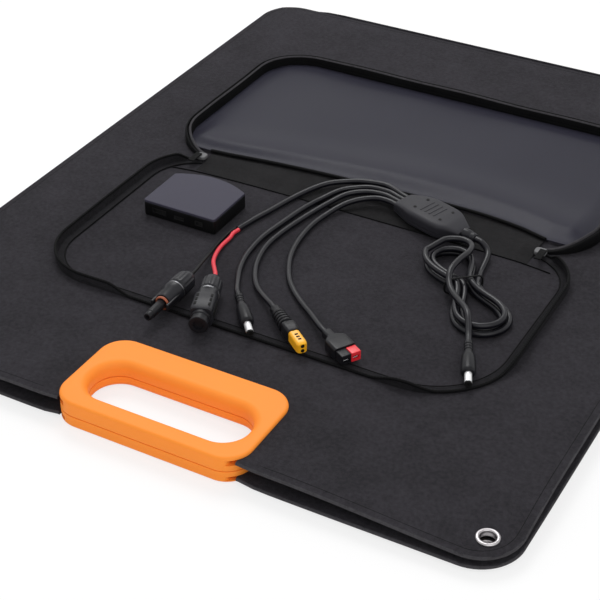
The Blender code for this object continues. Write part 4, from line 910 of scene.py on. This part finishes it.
# tapered shroud with a red and a black housing, each hollowed at its mouth round a bright contact
def makePole():
    put = fitter("pole")
    neck = pole["neck"] / 2
    sections = [(pole["length"] * share, neck * grow, neck * grow, pole["neck"] * 0.3 * grow)
                for share, grow in [(0, 0.8), (0.03, 1), (0.26, 1)]]
    for share, grow in [(0.36, 0.3), (0.44, 0.75), (0.52, 1.0), (0.97, 1.0), (1.0, 0.93)]:
        y = neck + (pole["width"] - pole["neck"]) / 2 * grow
        z = neck + (pole["height"] - pole["neck"]) / 2 * grow
        sections.append((pole["length"] * share, y, z, z * 0.42))
    pieces = [put("poleShroud", lofted(sections), "moulding", ["pole_connector_shroud"])]
    start = pole["length"] + clearance
    end = start + pole["reach"]
    half = pole["size"] / 2
    housings = [("red", 1, "redHousing", "red_housing"), ("black", -1, "moulding", "moulding")]
    for name, side, finishName, slotName in housings:
        y = side * (half + clearance / 2)
        label = "pole" + name.title()
        block = softBox(start, end, half, half, 0.45 * mm, y)
        housing = put(label, block, finishName, ["pole_connector_" + name], slotName)
        mouth = softBox(end - 4.5 * mm, end + 3 * mm, half - 1.3 * mm, half - 2.2 * mm, 0.3 * mm, y,
                        -0.7 * mm)
        cutFrom(housing, [turnAndPlace(mouth, plugs["pole"], laidZ + axisHeights["pole"])])
        contact = softBox(end - 4.3 * mm, end - 0.9 * mm, half - 1.8 * mm, 0.4 * mm, 0.2 * mm, y, -0.9 * mm)
        pieces += [housing, put(label + "Contact", contact, "bright", (), "plug_metal")]
    return pieces


fittings = {"male": makeMale(), "female": makeFemale(), "charge": makeBarrelPlug("charge"),
            "battery": makeBattery(), "pole": makePole(), "trunk": makeBarrelPlug("trunk")}
print("fittings made:", sum(len(group) for group in fittings.values()))


# splitter block, tie and cords, which follow the same route points as the solids

splitter = {**inMetres(length=68, parting=5.9, relief=12, crown=8.6, rib=(8.2, 0.75, 0.45, 0.35),
                       ribPitch=4.6, wellR=1.25, wellDeep=1, wellProud=0.06, wellX=(-13, 14.5),
                       wellY=(-7.6, 7.6)),
            "place": (62.3, 2.0, -18.2), "ribs": 4, "ribShift": 1.4}
cordSet = inMetres(branchD=4.6, trunkD=5, redD=3.4, blackD=2.4, pitch=4.95, fanZ=6.2, trunkZ=7.5,
                   straight=6.3, inside=3.5, branchStep=2.2, wireStep=1.8, trunkStep=2.4)
hank = {**inMetres(waist=(124, -72.5), lower=52, upper=48, half=1.35, lobe=30, pitch=6.1, layer=5.6,
                   lift=2.2, span=11, tie=(-16.4, 14, 1.05, 14.1), tieR=0.75,
                   tail=[(-52.5, 13.5, 13.6), (-43, 18.5, 14), (-32, 13.5, 15.2), (-21, 1.5, 16.2),
                         (-10, -8.8, 15.4), (1, -13.2, 12.2), (12, -14.4, 11.2), (25, -13.6, 12.2),
                         (36, -12.8, 13.6), (46, -13.2, 13.9), (55.5, -15.4, 11)]),
        "yaw": -48.2, "roundEnd": 0.2, "neck": 0.75, "turns": 3, "steps": 26, "wound": 2.765}
routes = inMetres(
    branch1=[(15.2, 27.0, 8.3), (4, 30, 8.2), (-14.3, 27.9, 7.0), (-27, 23.2, 5.8), (-39.9, 13.6, 5.2),
             (-49.3, 0.5, 3.7), (-57.2, -19.5, 2.6), (-63, -43.6, 2.6), (-68, -62.3, 2.6),
             (-72.1, -81.8, 2.6)],
    branch2=[(13.5, 21.1, 8.3), (-3, 22.4, 7.0), (-15.3, 17.8, 5.8), (-26.1, 8.5, 4.9), (-34.9, -8.1, 2.9),
             (-41, -29.1, 2.6), (-45.4, -57.6, 2.6), (-48.4, -83.5, 2.6), (-46.8, -108.4, 2.6),
             (-41.8, -128.5, 2.6), (-33.2, -147, 3.6)],
    branch3=[(11.5, 15.2, 8.3), (-4.4, 13.9, 7.0), (-17.5, 4.5, 5.8), (-25.8, -12.9, 3.9),
             (-32.9, -37.2, 2.6), (-37.9, -66.8, 2.6), (-39.1, -91.4, 2.6), (-35.1, -112.4, 2.6),
             (-28.2, -129.2, 2.6), (-18.5, -143.9, 2.8), (-7.7, -154.4, 4.2)],
    branch4=[(9.6, 7.4, 8.3), (-2.9, 1.4, 6.8), (-12.2, -9.1, 5.2), (-18.7, -26.2, 3.4), (-22.2, -48.1, 2.6),
             (-20.6, -72.5, 2.6), (-15.9, -93.4, 2.6), (-8.8, -110.2, 2.6), (0.4, -125.5, 2.6),
             (11, -137.4, 2.6), (23.5, -148.4, 2.9), (38.2, -160.2, 4.2)],
    red=[(-71.0, -96, 2.4), (-70.4, -109.6, 2.8), (-67.2, -123, 4.2), (-60.6, -138, 6.6)],
    black=[(-75.9, -96, 1.8), (-75.0, -109.6, 2.2), (-72.0, -124, 3.8), (-68.0, -142, 6.8)],
    lead=[(121.2, -21.5, 5.4)])


# splitter shells: half width and crown height change along the block, each section half of a rounded square
def splitterShell(upper):
    half = splitter["length"] / 2
    along = np.linspace(-half, half, 57)
    share = along / splitter["length"]
    kernel = np.array([1, 2, 3, 2, 1]) / 9

    def eased(places, sizes):
        line = np.interp(share, places, np.array(sizes) * mm)
        return np.r_[line[:2], np.convolve(line, kernel, "valid"), line[-2:]][:, None]

    width = eased([-0.5, -0.46, -0.2, -0.12, 0.16, 0.26, 0.46, 0.5],
                  [10.3, 11.2, 16.6, 17, 17, 16.2, 8.6, 7.2])
    crown = eased([-0.5, -0.47, -0.3, -0.14, 0.2, 0.34, 0.47, 0.5],
                  [3.4, 4.6, 7.2, 8.5, 8.5, 7.4, 4.8, 3.6])
    angle = np.linspace(0, np.pi, 41)
    squareness = 2 / 5
    y = np.sign(np.cos(angle)) * np.abs(np.cos(angle)) ** squareness
    z = np.abs(np.sin(angle)) ** squareness
    height = crown if upper else clearance - splitter["parting"]
    base = splitter["parting"] + (clearance if upper else -clearance) / 2
    return gridShell(np.stack(np.broadcast_arrays(along[:, None], width * y, base + height * z), axis=-1))


def makeSplitter():
    def put(name, shell, finishName, nodes=(), smoothAngle=creaseAngle, z=laidZ):
        placed = turnAndPlace(shell, splitter["place"], z)
        makePiece(name, placed, finishName, "cable_set", "moulding", nodes, smoothAngle)

    for side in ("lower", "upper"):
        put("splitter" + side.title(), splitterShell(side == "upper"), "blockMoulding",
            ["splitter_" + side + "_shell"], 50)
    top = splitter["parting"] + splitter["crown"]
    reach, halfY, halfZ, edge = splitter["rib"]
    verts, faces = softBox(-reach, reach, halfY, halfZ, edge)
    verts = verts[:, [1, 0, 2]] * [-1, 1, 1]
    places = (np.arange(splitter["ribs"]) - splitter["ribShift"]) * splitter["ribPitch"]
    ribs = [(verts + [x, 0, top], faces) for x in places]
    put("splitterRibs", joinShells(ribs), "blockMoulding")
    # screw wells: near-black discs, painted shade of the recessed screw holes
    ring = circle(splitter["wellR"], 20)
    wells = [prism(ring + [x, y], top - splitter["wellDeep"], top + splitter["wellProud"])
             for x in splitter["wellX"] for y in splitter["wellY"]]
    put("splitterScrewWells", joinShells(wells), "hole")
    start, n = splitter["length"] / 2 + clearance, splitter["relief"]
    steps = [(0.4 * mm / n, 4.6), (0.55, 4.5), (0.62, 3.9), (0.72, 3.9), (0.78, 4.1), (0.95, 3.7), (1, 3.2)]
    relief = [(start + share * n, radius * mm) for share, radius in [(0, 4.2), *steps]]
    put("trunkRelief", turned(relief, 36), "greyMoulding", ["trunk_strain_relief"],
        z=laidZ + cordSet["trunkZ"])


# points given along the hank, across it and over the cover
def fromWaist(points):
    c, s = math.cos(math.radians(hank["yaw"])), math.sin(math.radians(hank["yaw"]))
    x, y = hank["waist"]
    along, across, up = np.asarray(points, float).T
    return np.column_stack([x + c * along - s * across, y + s * along + c * across, coverTop + up])


# tie: a loop of wire drawn tight round the hank's waist
def makeTie():
    left, right, low, high = hank["tie"]
    loop = roundRect(left, right, low, high, [(high - low) * 0.36] * 4, 8, 12)
    path = fromWaist(np.column_stack([np.zeros(len(loop)), loop]))
    makePiece("hankTie", tubeShell(path, hank["tieR"], 10, closed=True), "blackWire", "cable_set", "tie",
              ["hank_tie"], 80)


# the hank's figure, an eight with an open neck: the angle's cosine runs along it, and its sine times a width
# that swells from the neck runs across
def hankFigure(angle):
    along, neck = np.cos(angle), hank["neck"]
    length = np.where(along > 0, hank["lower"], hank["upper"]) / (1 + hank["roundEnd"])
    swell = (np.hypot(along, neck) - neck) / (math.hypot(1, neck) - neck)
    across = np.sin(angle) * (hank["half"] + hank["lobe"] * swell)
    return np.stack([length * along * (1 + hank["roundEnd"] * along ** 2), across], axis=-1)


# loops that spiral in and out again turn by turn, climb to a second layer halfway and again near the end,
# and rise over each other at the waist
def hankPath():
    fine = 4
    turns = np.arange(-2 * fine, int(hank["wound"] * hank["steps"] * fine)) / (hank["steps"] * fine)
    angle = np.pi / 2 - 2 * np.pi * turns
    base = hankFigure(angle)
    forward = hankFigure(angle + 1e-4) - hankFigure(angle - 1e-4)
    forward /= np.linalg.norm(forward, axis=1)[:, None]
    outward = np.stack([forward[:, 1], -forward[:, 0]], axis=-1)
    middle = hank["turns"] / 2
    flat = base + outward * (np.abs(turns - middle) * hank["pitch"])[:, None]
    climb = smoothStep((turns - middle) * 2 + 0.5, 0, 1)
    climb = climb + smoothStep((turns - hank["turns"] + 0.55) / 0.4, 0, 1)
    rise = hank["lift"] * np.exp(-(base[:, 0] / hank["span"]) ** 2)
    z = clearance + cordSet["trunkD"] / 2 + hank["layer"] * climb + rise
    return fromWaist(np.column_stack([flat, z]))


def overCover(name):
    return np.array(routes[name]) + [0, 0, coverTop]


def splitterPoint(along, across, up):
    return turnAndPlace((np.array([[along, across, up]]), []), splitter["place"], laidZ)[0][0]


# last two points of a cord: straight in line with its fitting, and on a little way into it
def plugEntry(label):
    x, y, degrees = plugs[label]
    mouth = np.array([x * mm, y * mm, laidZ + axisHeights[label]])
    ahead = np.array([math.cos(math.radians(degrees)), math.sin(math.radians(degrees)), 0.0])
    return [mouth - ahead * cordSet["straight"], mouth + ahead * cordSet["inside"]]


def layCord(name, path, diameter, finishName, nodes, slotName, withPieces=()):
    cord = makePiece(name, tubeShell(path, diameter / 2), finishName, "cable_set", slotName, nodes, 70)
    list(withPieces)


def layBranches():
    reach = splitter["length"] / 2
    for index, plug in enumerate((None, "charge", "battery", "pole")):
        number = str(index + 1)
        across = (1.5 - index) * cordSet["pitch"]
        points = [splitterPoint(-reach - clearance, across, cordSet["fanZ"]),
                  splitterPoint(-reach - cordSet["straight"], across, cordSet["fanZ"]),
                  *overCover("branch" + number)]
        if plug:
            points += plugEntry(plug)
        path = smoothRoute(points, cordSet["branchStep"])
        layCord("branchCord" + number, path, cordSet["branchD"], "cord", ["branch_cord_" + number], "cord",
                withPieces=fittings.get(plug, []))


# the first branch ends where its two wires come out side by side
def layWires():
    before, tip = overCover("branch1")[-2:]
    ahead = (tip - before) / np.linalg.norm(tip - before)
    aside = np.array([-ahead[1], ahead[0], 0])
    for name, plug, side, other in (("red", "female", 1, "black"), ("black", "male", -1, "red")):
        start = tip + ahead * clearance + aside * side * (cordSet[other + "D"] + clearance) / 2
        points = [start, start + ahead * cordSet["straight"], *overCover(name), *plugEntry(plug)]
        layCord(name + "Wire", smoothRoute(points, cordSet["wireStep"]), cordSet[name + "D"], name + "Wire",
                [name + "_wire"], name + "_wire", withPieces=fittings[plug])


# the trunk is one cord: a lead from the relief, the hank's loops, and a tail to the plug
def layTrunk():
    loops = hankPath()
    overlap = 8  # points of the loops that the tail runs over
    enter = loops[4] - loops[0]
    enter /= np.linalg.norm(enter)
    relief = splitter["length"] / 2 + splitter["relief"]
    step = cordSet["trunkStep"]
    lead = smoothRoute([splitterPoint(relief + 2 * clearance, 0, cordSet["trunkZ"]),
                        splitterPoint(relief + cordSet["straight"], 0, cordSet["trunkZ"]),
                        *overCover("lead"), loops[0] - enter * cordSet["straight"], loops[0]], step)
    tail = smoothRoute([loops[-overlap], loops[-1], *fromWaist(hank["tail"]), *plugEntry("trunk")], step)
    path = evenly(np.vstack([lead[:-1], loops[:-overlap], tail]), step)
    layCord("trunkCord", path, cordSet["trunkD"], "cord",
            ["trunk_cord_lead", "trunk_cord_hank", "trunk_cord_tail"], "cord",
            fittings["trunk"])


makeSplitter()
makeTie()
layBranches()
layWires()
layTrunk()
print("splitter, tie and cords laid")


# pouch

rim = inMetres(left=-189, right=194, front=-204, seam=7.5, radii=[66, 48, 48, 50], flat=1.5, high=7.4,
               lean=1.6, step=0.8, tooth=2.4, toothR=(1.25, 0.15), ends=(-158, 153.5), endY=-6,
               stitchInset=7.5, stitchUp=0.9, stitchR=0.6,
               pressed=[(-94, 108, -220, -188, 24), (158, 186, -196, -160, 24), (-168, -138, -8, 12, 10),
                        (142, 164, -8, 12, 10)])
lid = inMetres(left=-199, right=191, near=5, far=213, height=12.7, endHeight=2.8, step=1.2, ends=(-159, 155),
               endDepth=25, radii=[46, 48, 48, 48], floorInset=3, floorThick=1.5, liningInset=6.3,
               liningLow=2.1, endRun=45, band=(3.3, 5.3), hemFront=0.5, hemUp=3.1, hemR=1.5,
               hem=[(-158, 17.5), (-142, 19), (-100, 25), (-47, 30), (20, 33.5), (88, 34.5),
                    (130, 30), (152, 24)])
strip = inMetres(left=-155, right=151, near=-13.3, bend=31, far=32.9, hemmed=0.2, thick=0.9, slack=1.5,
                 pinned=(-74, 134), seamR=0.55, seamUp=0.5, sunk=0.03,
                 seam=[(-176, -20), (-155, -16.5), (-115, -14.2), (-64, -13.2), (20, -12.8), (121, -13.2),
                       (149, -14), (172, -17)])
# left and right: X of the end and how far its tab lies aside, in millimetres
zipEnd = {**inMetres(inFront=4, half=4.8, near=3.9, far=4.7, corner=2.9, high=3, lowEdge=0.4, topEdge=0.9,
                     pullReach=14.4, pullBehind=0.6, pullHalf=3, pullThick=0.6, pullEdge=0.45, pullUp=0.9),
          "left": (-162, 2), "right": (158, -2.5)}


# the rim's line and inward direction, with the tape's height, which drops where it is pressed, and its lean
def rimCourse():
    edge = 30
    outline = roundRect(rim["left"], rim["right"], rim["front"], rim["seam"], rim["radii"], 20, edge)
    half = len(outline) // 4 * 2
    path = evenCourse(np.vstack([outline[half:], outline[:half - edge]]), rim["step"])
    left, right = rim["ends"]
    path = path[(path[:, 1] < rim["endY"]) | (path[:, 0] < left) | (path[:, 0] > right)]
    share = np.ones(len(path))
    for x0, x1, y0, y1, fade in rim["pressed"]:
        dx = np.maximum(np.maximum(x0 - path[:, 0], path[:, 0] - x1), 0)
        dy = np.maximum(np.maximum(y0 - path[:, 1], path[:, 1] - y1), 0)
        share = np.minimum(share, smoothStep(np.hypot(dx, dy), 0, fade))
    h = rim["flat"] + (rim["high"] - rim["flat"]) * share
    lean = rim["lean"] * share * np.sin(np.arange(len(path)) * 0.011)
    return path, leftOf(path), h, lean


# zip rim: a standing tape with a round top and a sewn flange, as rows of inset, share of the lean and height
def rimShell():
    path, inward, h, lean = rimCourse()
    shoulder = np.minimum(0.9 * mm, 0.4 * h)
    tape = [(0.25, 0, 0 * h), (0, 0, 0.2 * h), (0, 0.2, 0.55 * h), (0, 0.6, h - shoulder),
            (0.1, 0.7, h - 0.42 * shoulder), (0.45, 0.75, h - 0.1 * mm), (0.9, 0.75, h),
            (1.35, 0.75, h - 0.1 * mm), (1.7, 0.7, h - 0.42 * shoulder), (1.8, 0.6, h - shoulder),
            (1.85, 0.2, 0.95 * mm + 0.2 * (h - rim["flat"]))]
    flange = [(2.1, 0.88), (5.6, 0.82), (6.0, 0.98), (6.6, 0.98), (7.0, 0.8), (7.8, 0.7), (8.0, 0.3),
              (7.8, 0)]
    tape += [(inset, 0, np.full(len(path), z * mm)) for inset, z in flange]
    low = coverTop + clearance
    return carried(path, inward, [(inset * mm - share * lean, low + z) for inset, share, z in tape])


# zip teeth: a beaded cord along the tape's top edge; its radius waves with each tooth
def rimTeeth():
    path, inward, h, lean = rimCourse()
    middle = path + inward * (0.9 * mm - 0.75 * lean)[:, None]
    turns = np.arange(len(path)) * rim["step"] / rim["tooth"]
    radius, wave = rim["toothR"]
    course = np.column_stack([middle, coverTop + clearance + h - 0.25 * mm])
    return tubeShell(course, radius + wave * np.sin(2 * np.pi * turns), 10)


# stitch line along the flange's inner edge
def rimStitch():
    path, inward = rimCourse()[:2]
    course = atHeight(path + inward * rim["stitchInset"], coverTop + rim["stitchUp"])
    return tubeShell(course, rim["stitchR"], 8)


# near edge of the lining across the lid, a smooth curve through the hem's points
def hemLine(x):
    curve = smoothRoute(atHeight(np.array(lid["hem"]), 0), sewnStep)
    return np.interp(x, curve[:, 0], curve[:, 1])


# back strip: a closed cloth section carried across the hinge; its height is a thickness that grows from the
# sewn hem, plus slack waves in front of the lining, held down between the first and last cord over it;
# its rows stand close together past the bend
def stripShell():
    x = np.linspace(strip["left"], strip["right"], 241)[:, None]
    near, bend, far = strip["near"], strip["bend"], strip["far"]
    y = np.r_[np.linspace(near, bend, 45)[:-1], np.linspace(bend, far, 40)]
    v = (y - near) / (far - near)
    left, right = strip["pinned"]
    free = np.maximum(1 - smoothStep(x - left, -14 * mm, 0), smoothStep(x - right, 0, 8 * mm))
    bared = smoothStep(hemLine(x) - y, 1.8 * mm, 7 * mm)
    swell = np.sin(np.pi * v) ** 2 * (0.8 + 0.2 * np.sin(x * 61))
    swell = swell + 0.45 * np.sin(2 * np.pi * v + 0.6) * np.sin(np.pi * v) * np.cos(x * 23 + 1)
    top = coverTop + strip["hemmed"] + strip["thick"] * smoothStep(y, -6 * mm, 10 * mm)
    return clothOver(x, y, top + strip["slack"] * free * bared * swell, coverTop + strip["sunk"])


# lid's wall line: a horseshoe from one zip end round the far side to the other
def lidCourse():
    outline = roundRect(lid["left"], lid["right"], lid["near"], lid["far"], lid["radii"], 24, 60)
    x, y = outline.T
    left, right = lid["ends"]
    return evenCourse(outline[(y > lid["near"] + lid["endDepth"]) | (x < left) | (x > right)], lid["step"])


# wall: a double-ridged zip wall carried along the horseshoe, sinking to the zip ends and swaying a little
def lidWall():
    path = lidCourse()
    along = np.arange(len(path)) * lid["step"]
    toEnd = np.minimum(along, along[::-1])
    sway = 1 - 0.05 * (0.5 + 0.5 * np.sin(along * 60)) - 0.03 * (0.5 + 0.5 * np.sin(along * 23 + 1))
    h = (lid["endHeight"] + (lid["height"] - lid["endHeight"]) * smoothStep(toEnd, 0, lid["endRun"])) * sway
    profile = [(0.6, 0), (0, 0.06), (0.15, 0.5), (0.1, 0.78), (0.45, 0.9), (1.1, 0.945), (1.8, 0.93),
               (2.3, 0.82), (2.75, 0.76), (3.2, 0.84), (3.7, 0.95), (4.3, 1), (4.9, 0.985), (5.5, 0.9),
               (5.8, 0.7), (6.0, 0.3), (6.1, 0)]
    low = coverTop + clearance
    section = [(np.full(len(path), inset * mm), low + h * share) for inset, share in profile]
    return carried(path, leftOf(path), section)


# near and far edge of the tray floor across it: the wall's rounded line, cut off by a near line
def floorSpan(x, inset, nearLine):
    def drop(corner, side):
        r = lid["radii"][corner] - inset
        centre = lid["right"] - inset - r if side > 0 else lid["left"] + inset + r
        into = np.clip(side * (x - centre), 0, r)
        return r - np.sqrt(r * r - into ** 2)

    near = lid["near"] + inset + drop(0, 1) + drop(3, -1)
    return np.maximum(near, nearLine(x)), lid["far"] - inset - drop(1, 1) - drop(2, -1)


# the panel starts where the back strip ends, and follows the lining's hem beside it
def panelLine(x):
    beside = (x < strip["left"] - mm) | (x > strip["right"] + mm)
    return np.where(beside, hemLine(x), strip["far"] + clearance)


# closed cloth over the tray floor: a grid from edge to edge, its upper height given by place
def floorCloth(inset, low, height, nearLine):
    turn = np.linspace(0, np.pi, 160)
    left, right = lid["left"] + inset, lid["right"] - inset
    x = left + (right - left) * (0.7 * (1 - np.cos(turn)) / 2 + 0.3 * turn / np.pi)
    near, far = floorSpan(x, inset, nearLine)
    v = np.linspace(0, 1, 56)[None]
    y = near[:, None] + (far - near)[:, None] * (0.65 * v + 0.35 * v * v)
    return clothOver(x[:, None], y, height(x[:, None], y), low)


# lining: a thin cloth with soft creases, standing up in a fold behind the hem
def liningHeight(x, y):
    back = y - hemLine(x)
    crest = (20 + 5 * np.sin(x * 13 + 0.6)) * mm
    fold = smoothStep(back, 1.5 * mm, crest) * np.exp(-(np.maximum(back - crest, 0) / 0.03) ** 2)
    sides = smoothStep(x - lid["left"], 8 * mm, 26 * mm) * smoothStep(lid["right"] - x, 8 * mm, 26 * mm)
    crease = 0.45 * mm * np.sin(x * 19 + 30 * y) + 0.35 * mm * np.sin(x * 41 - 22 * y + 2)
    far = smoothStep(lid["far"] - y, 7 * mm, 25 * mm)
    puff = far * smoothStep(back, 0, 0.02) * (0.8 * mm + crease)
    return coverTop + 2.9 * mm + sides * (3.6 * mm * fold + puff)


def makeRim():
    makePiece("zipRim", rimShell(), "rimTape", "upper_panel", "zip_tape", ["pouch_zip_rim"], 45)
    makePiece("rimTeeth", rimTeeth(), "zipTape", "upper_panel", "zip_tape", (), 80)
    makePiece("rimStitch", rimStitch(), "zipTape", "upper_panel", "zip_tape", (), 80)


# the strip lies between the upper half and the lid, with no parent and its place baked into its mesh
def makeStrip():
    # the strip's finish is partly painted shade of its folds, laid over the band from the seam to the hem
    band = makePiece("backStrip", stripShell(), "strip", "upper_panel", "cover_fabric",
                     ["pouch_back_strip"], 50, ride=False)
    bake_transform(band)


def makeLid():
    wall = makePiece("lidWall", lidWall(), "zipTape", "pouch_lid", "zip_tape", ["pouch_lid_wall"], 50)
    # the top of the wall's inner ridge takes the lighter band, partly grey tape and partly painted highlight
    bandFaces(wall, lidCourse(), *lid["band"], "binding")
    low = coverTop + clearance
    floor = floorCloth(lid["floorInset"], low, lambda x, y: low + lid["floorThick"] + 0 * y, panelLine)
    makePiece("lidFloor", floor, "cover", "pouch_lid", "cover_fabric", ["pouch_lid_panel"], 50)
    inset = lid["liningInset"]
    cloth = floorCloth(inset, coverTop + lid["liningLow"], liningHeight, hemLine)
    lining = makePiece("lidLining", cloth, "lining", "pouch_lid", "lining", ["pouch_lid_lining"], 60)
    across = np.linspace(lid["left"] + inset, lid["right"] - inset, 400)
    near, far = floorSpan(across, inset, hemLine)


# rolled edge: a thin tube along a smooth line at one height over the cover
def rolledEdge(name, line, height, radius, body, slotName):
    path = smoothRoute(atHeight(np.array(line), coverTop + height), sewnStep)
    makePiece(name, tubeShell(path, radius, 12), "zipTape", body, slotName, (), 70)


def makeZipEnd(place):
    x, aside = zipEnd[place]
    y = rim["seam"] - zipEnd["inFront"]
    middle = (x + aside) * mm

    def tab(inset):
        half = zipEnd["half"] - inset
        return roundRect(middle - half, middle + half, y - zipEnd["near"] + inset, y + zipEnd["far"] - inset,
                         [zipEnd["corner"] - inset] * 4, 6, 2)

    high = laidZ + zipEnd["high"]
    block = softPrism(tab, laidZ, high, zipEnd["lowEdge"], zipEnd["topEdge"])
    makePiece("zipEnd" + place.title(), block, "tabGrey", "upper_panel", "zip_metal",
              ["zip_slider_" + place])
    tongue = softBox(-zipEnd["pullReach"], zipEnd["pullBehind"], zipEnd["pullHalf"], zipEnd["pullThick"],
                     zipEnd["pullEdge"])
    tongue = turnAndPlace(tongue, (x, y / mm, 90), high + zipEnd["pullUp"])
    pull = "zip_pull_" + place
    makePiece("zipPull" + place.title(), tongue, "zipTape", pull, "zip_metal", [pull])


makeRim()
makeStrip()
makeLid()
rolledEdge("lidHem", np.array(lid["hem"]) - [0, lid["hemFront"]], lid["hemUp"], lid["hemR"], "pouch_lid",
           "lining")
rolledEdge("stripSeam", strip["seam"], strip["seamUp"], strip["seamR"], "upper_panel", "zip_tape")
makeZipEnd("left")
makeZipEnd("right")
print("pouch made")


# controller box

box = inMetres(x=-119.5, front=-96, width=68, side=48.5, middle=58, height=14.2, lid=2.2, edge=0.7,
               corner=2.2, around=0.2, mouth=2, footEdge=0.7, seamEdge=0.25, coverEdge=0.2, openingR=0.1)


# controller outline: straight front and sides, front corners quarter rounds, back bowed as a parabola
def boxOutline(inset):
    half, r = box["width"] / 2 - inset, box["corner"]
    front, side = box["front"] + inset, box["front"] + box["side"] - inset
    quarter = np.radians(np.linspace(0, 90, 7))
    right = np.stack([half - r + r * np.sin(quarter), front + r - r * np.cos(quarter)], axis=-1)
    left = right[::-1] * [-1, 1]
    across = np.linspace(1, -1, 41)
    back = np.stack([across * half, side + (box["middle"] - box["side"]) * (1 - across ** 2)], axis=-1)
    return np.vstack([left, right, back]) + [box["x"], 0]


def makeController():
    low = coverTop + clearance
    high = low + box["height"]
    rimZ = high - box["lid"] - clearance
    lower = softPrism(boxOutline, low, rimZ + clearance / 2, box["footEdge"], box["seamEdge"])
    base = makePiece("controllerCase", lower, "boxSide", "upper_panel", "controller_black",
                     ["controller_base", "controller_circuit_board"])
    cover = softPrism(boxOutline, rimZ + clearance, high, box["coverEdge"], box["edge"])
    makePiece("controllerTop", cover, "boxTop", "upper_panel", "controller_grey", ["controller_cover"])
    cuts = []
    a = box["around"]
    for name in ("usb_a_socket", "usb_c_socket", "dc_output_socket"):
        (x0, y0, z0), (x1, y1, z1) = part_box(name)
        opening = roundRect(x0 - a, x1 + a, y0 - box["mouth"], y1 + a, [box["openingR"]] * 4, 2, 2)
        cuts.append(prism(opening, z0 - a, z1 + a))
        paintNode(name, "socket")
    cutFrom(base, cuts)


makeController()
print("controller made")
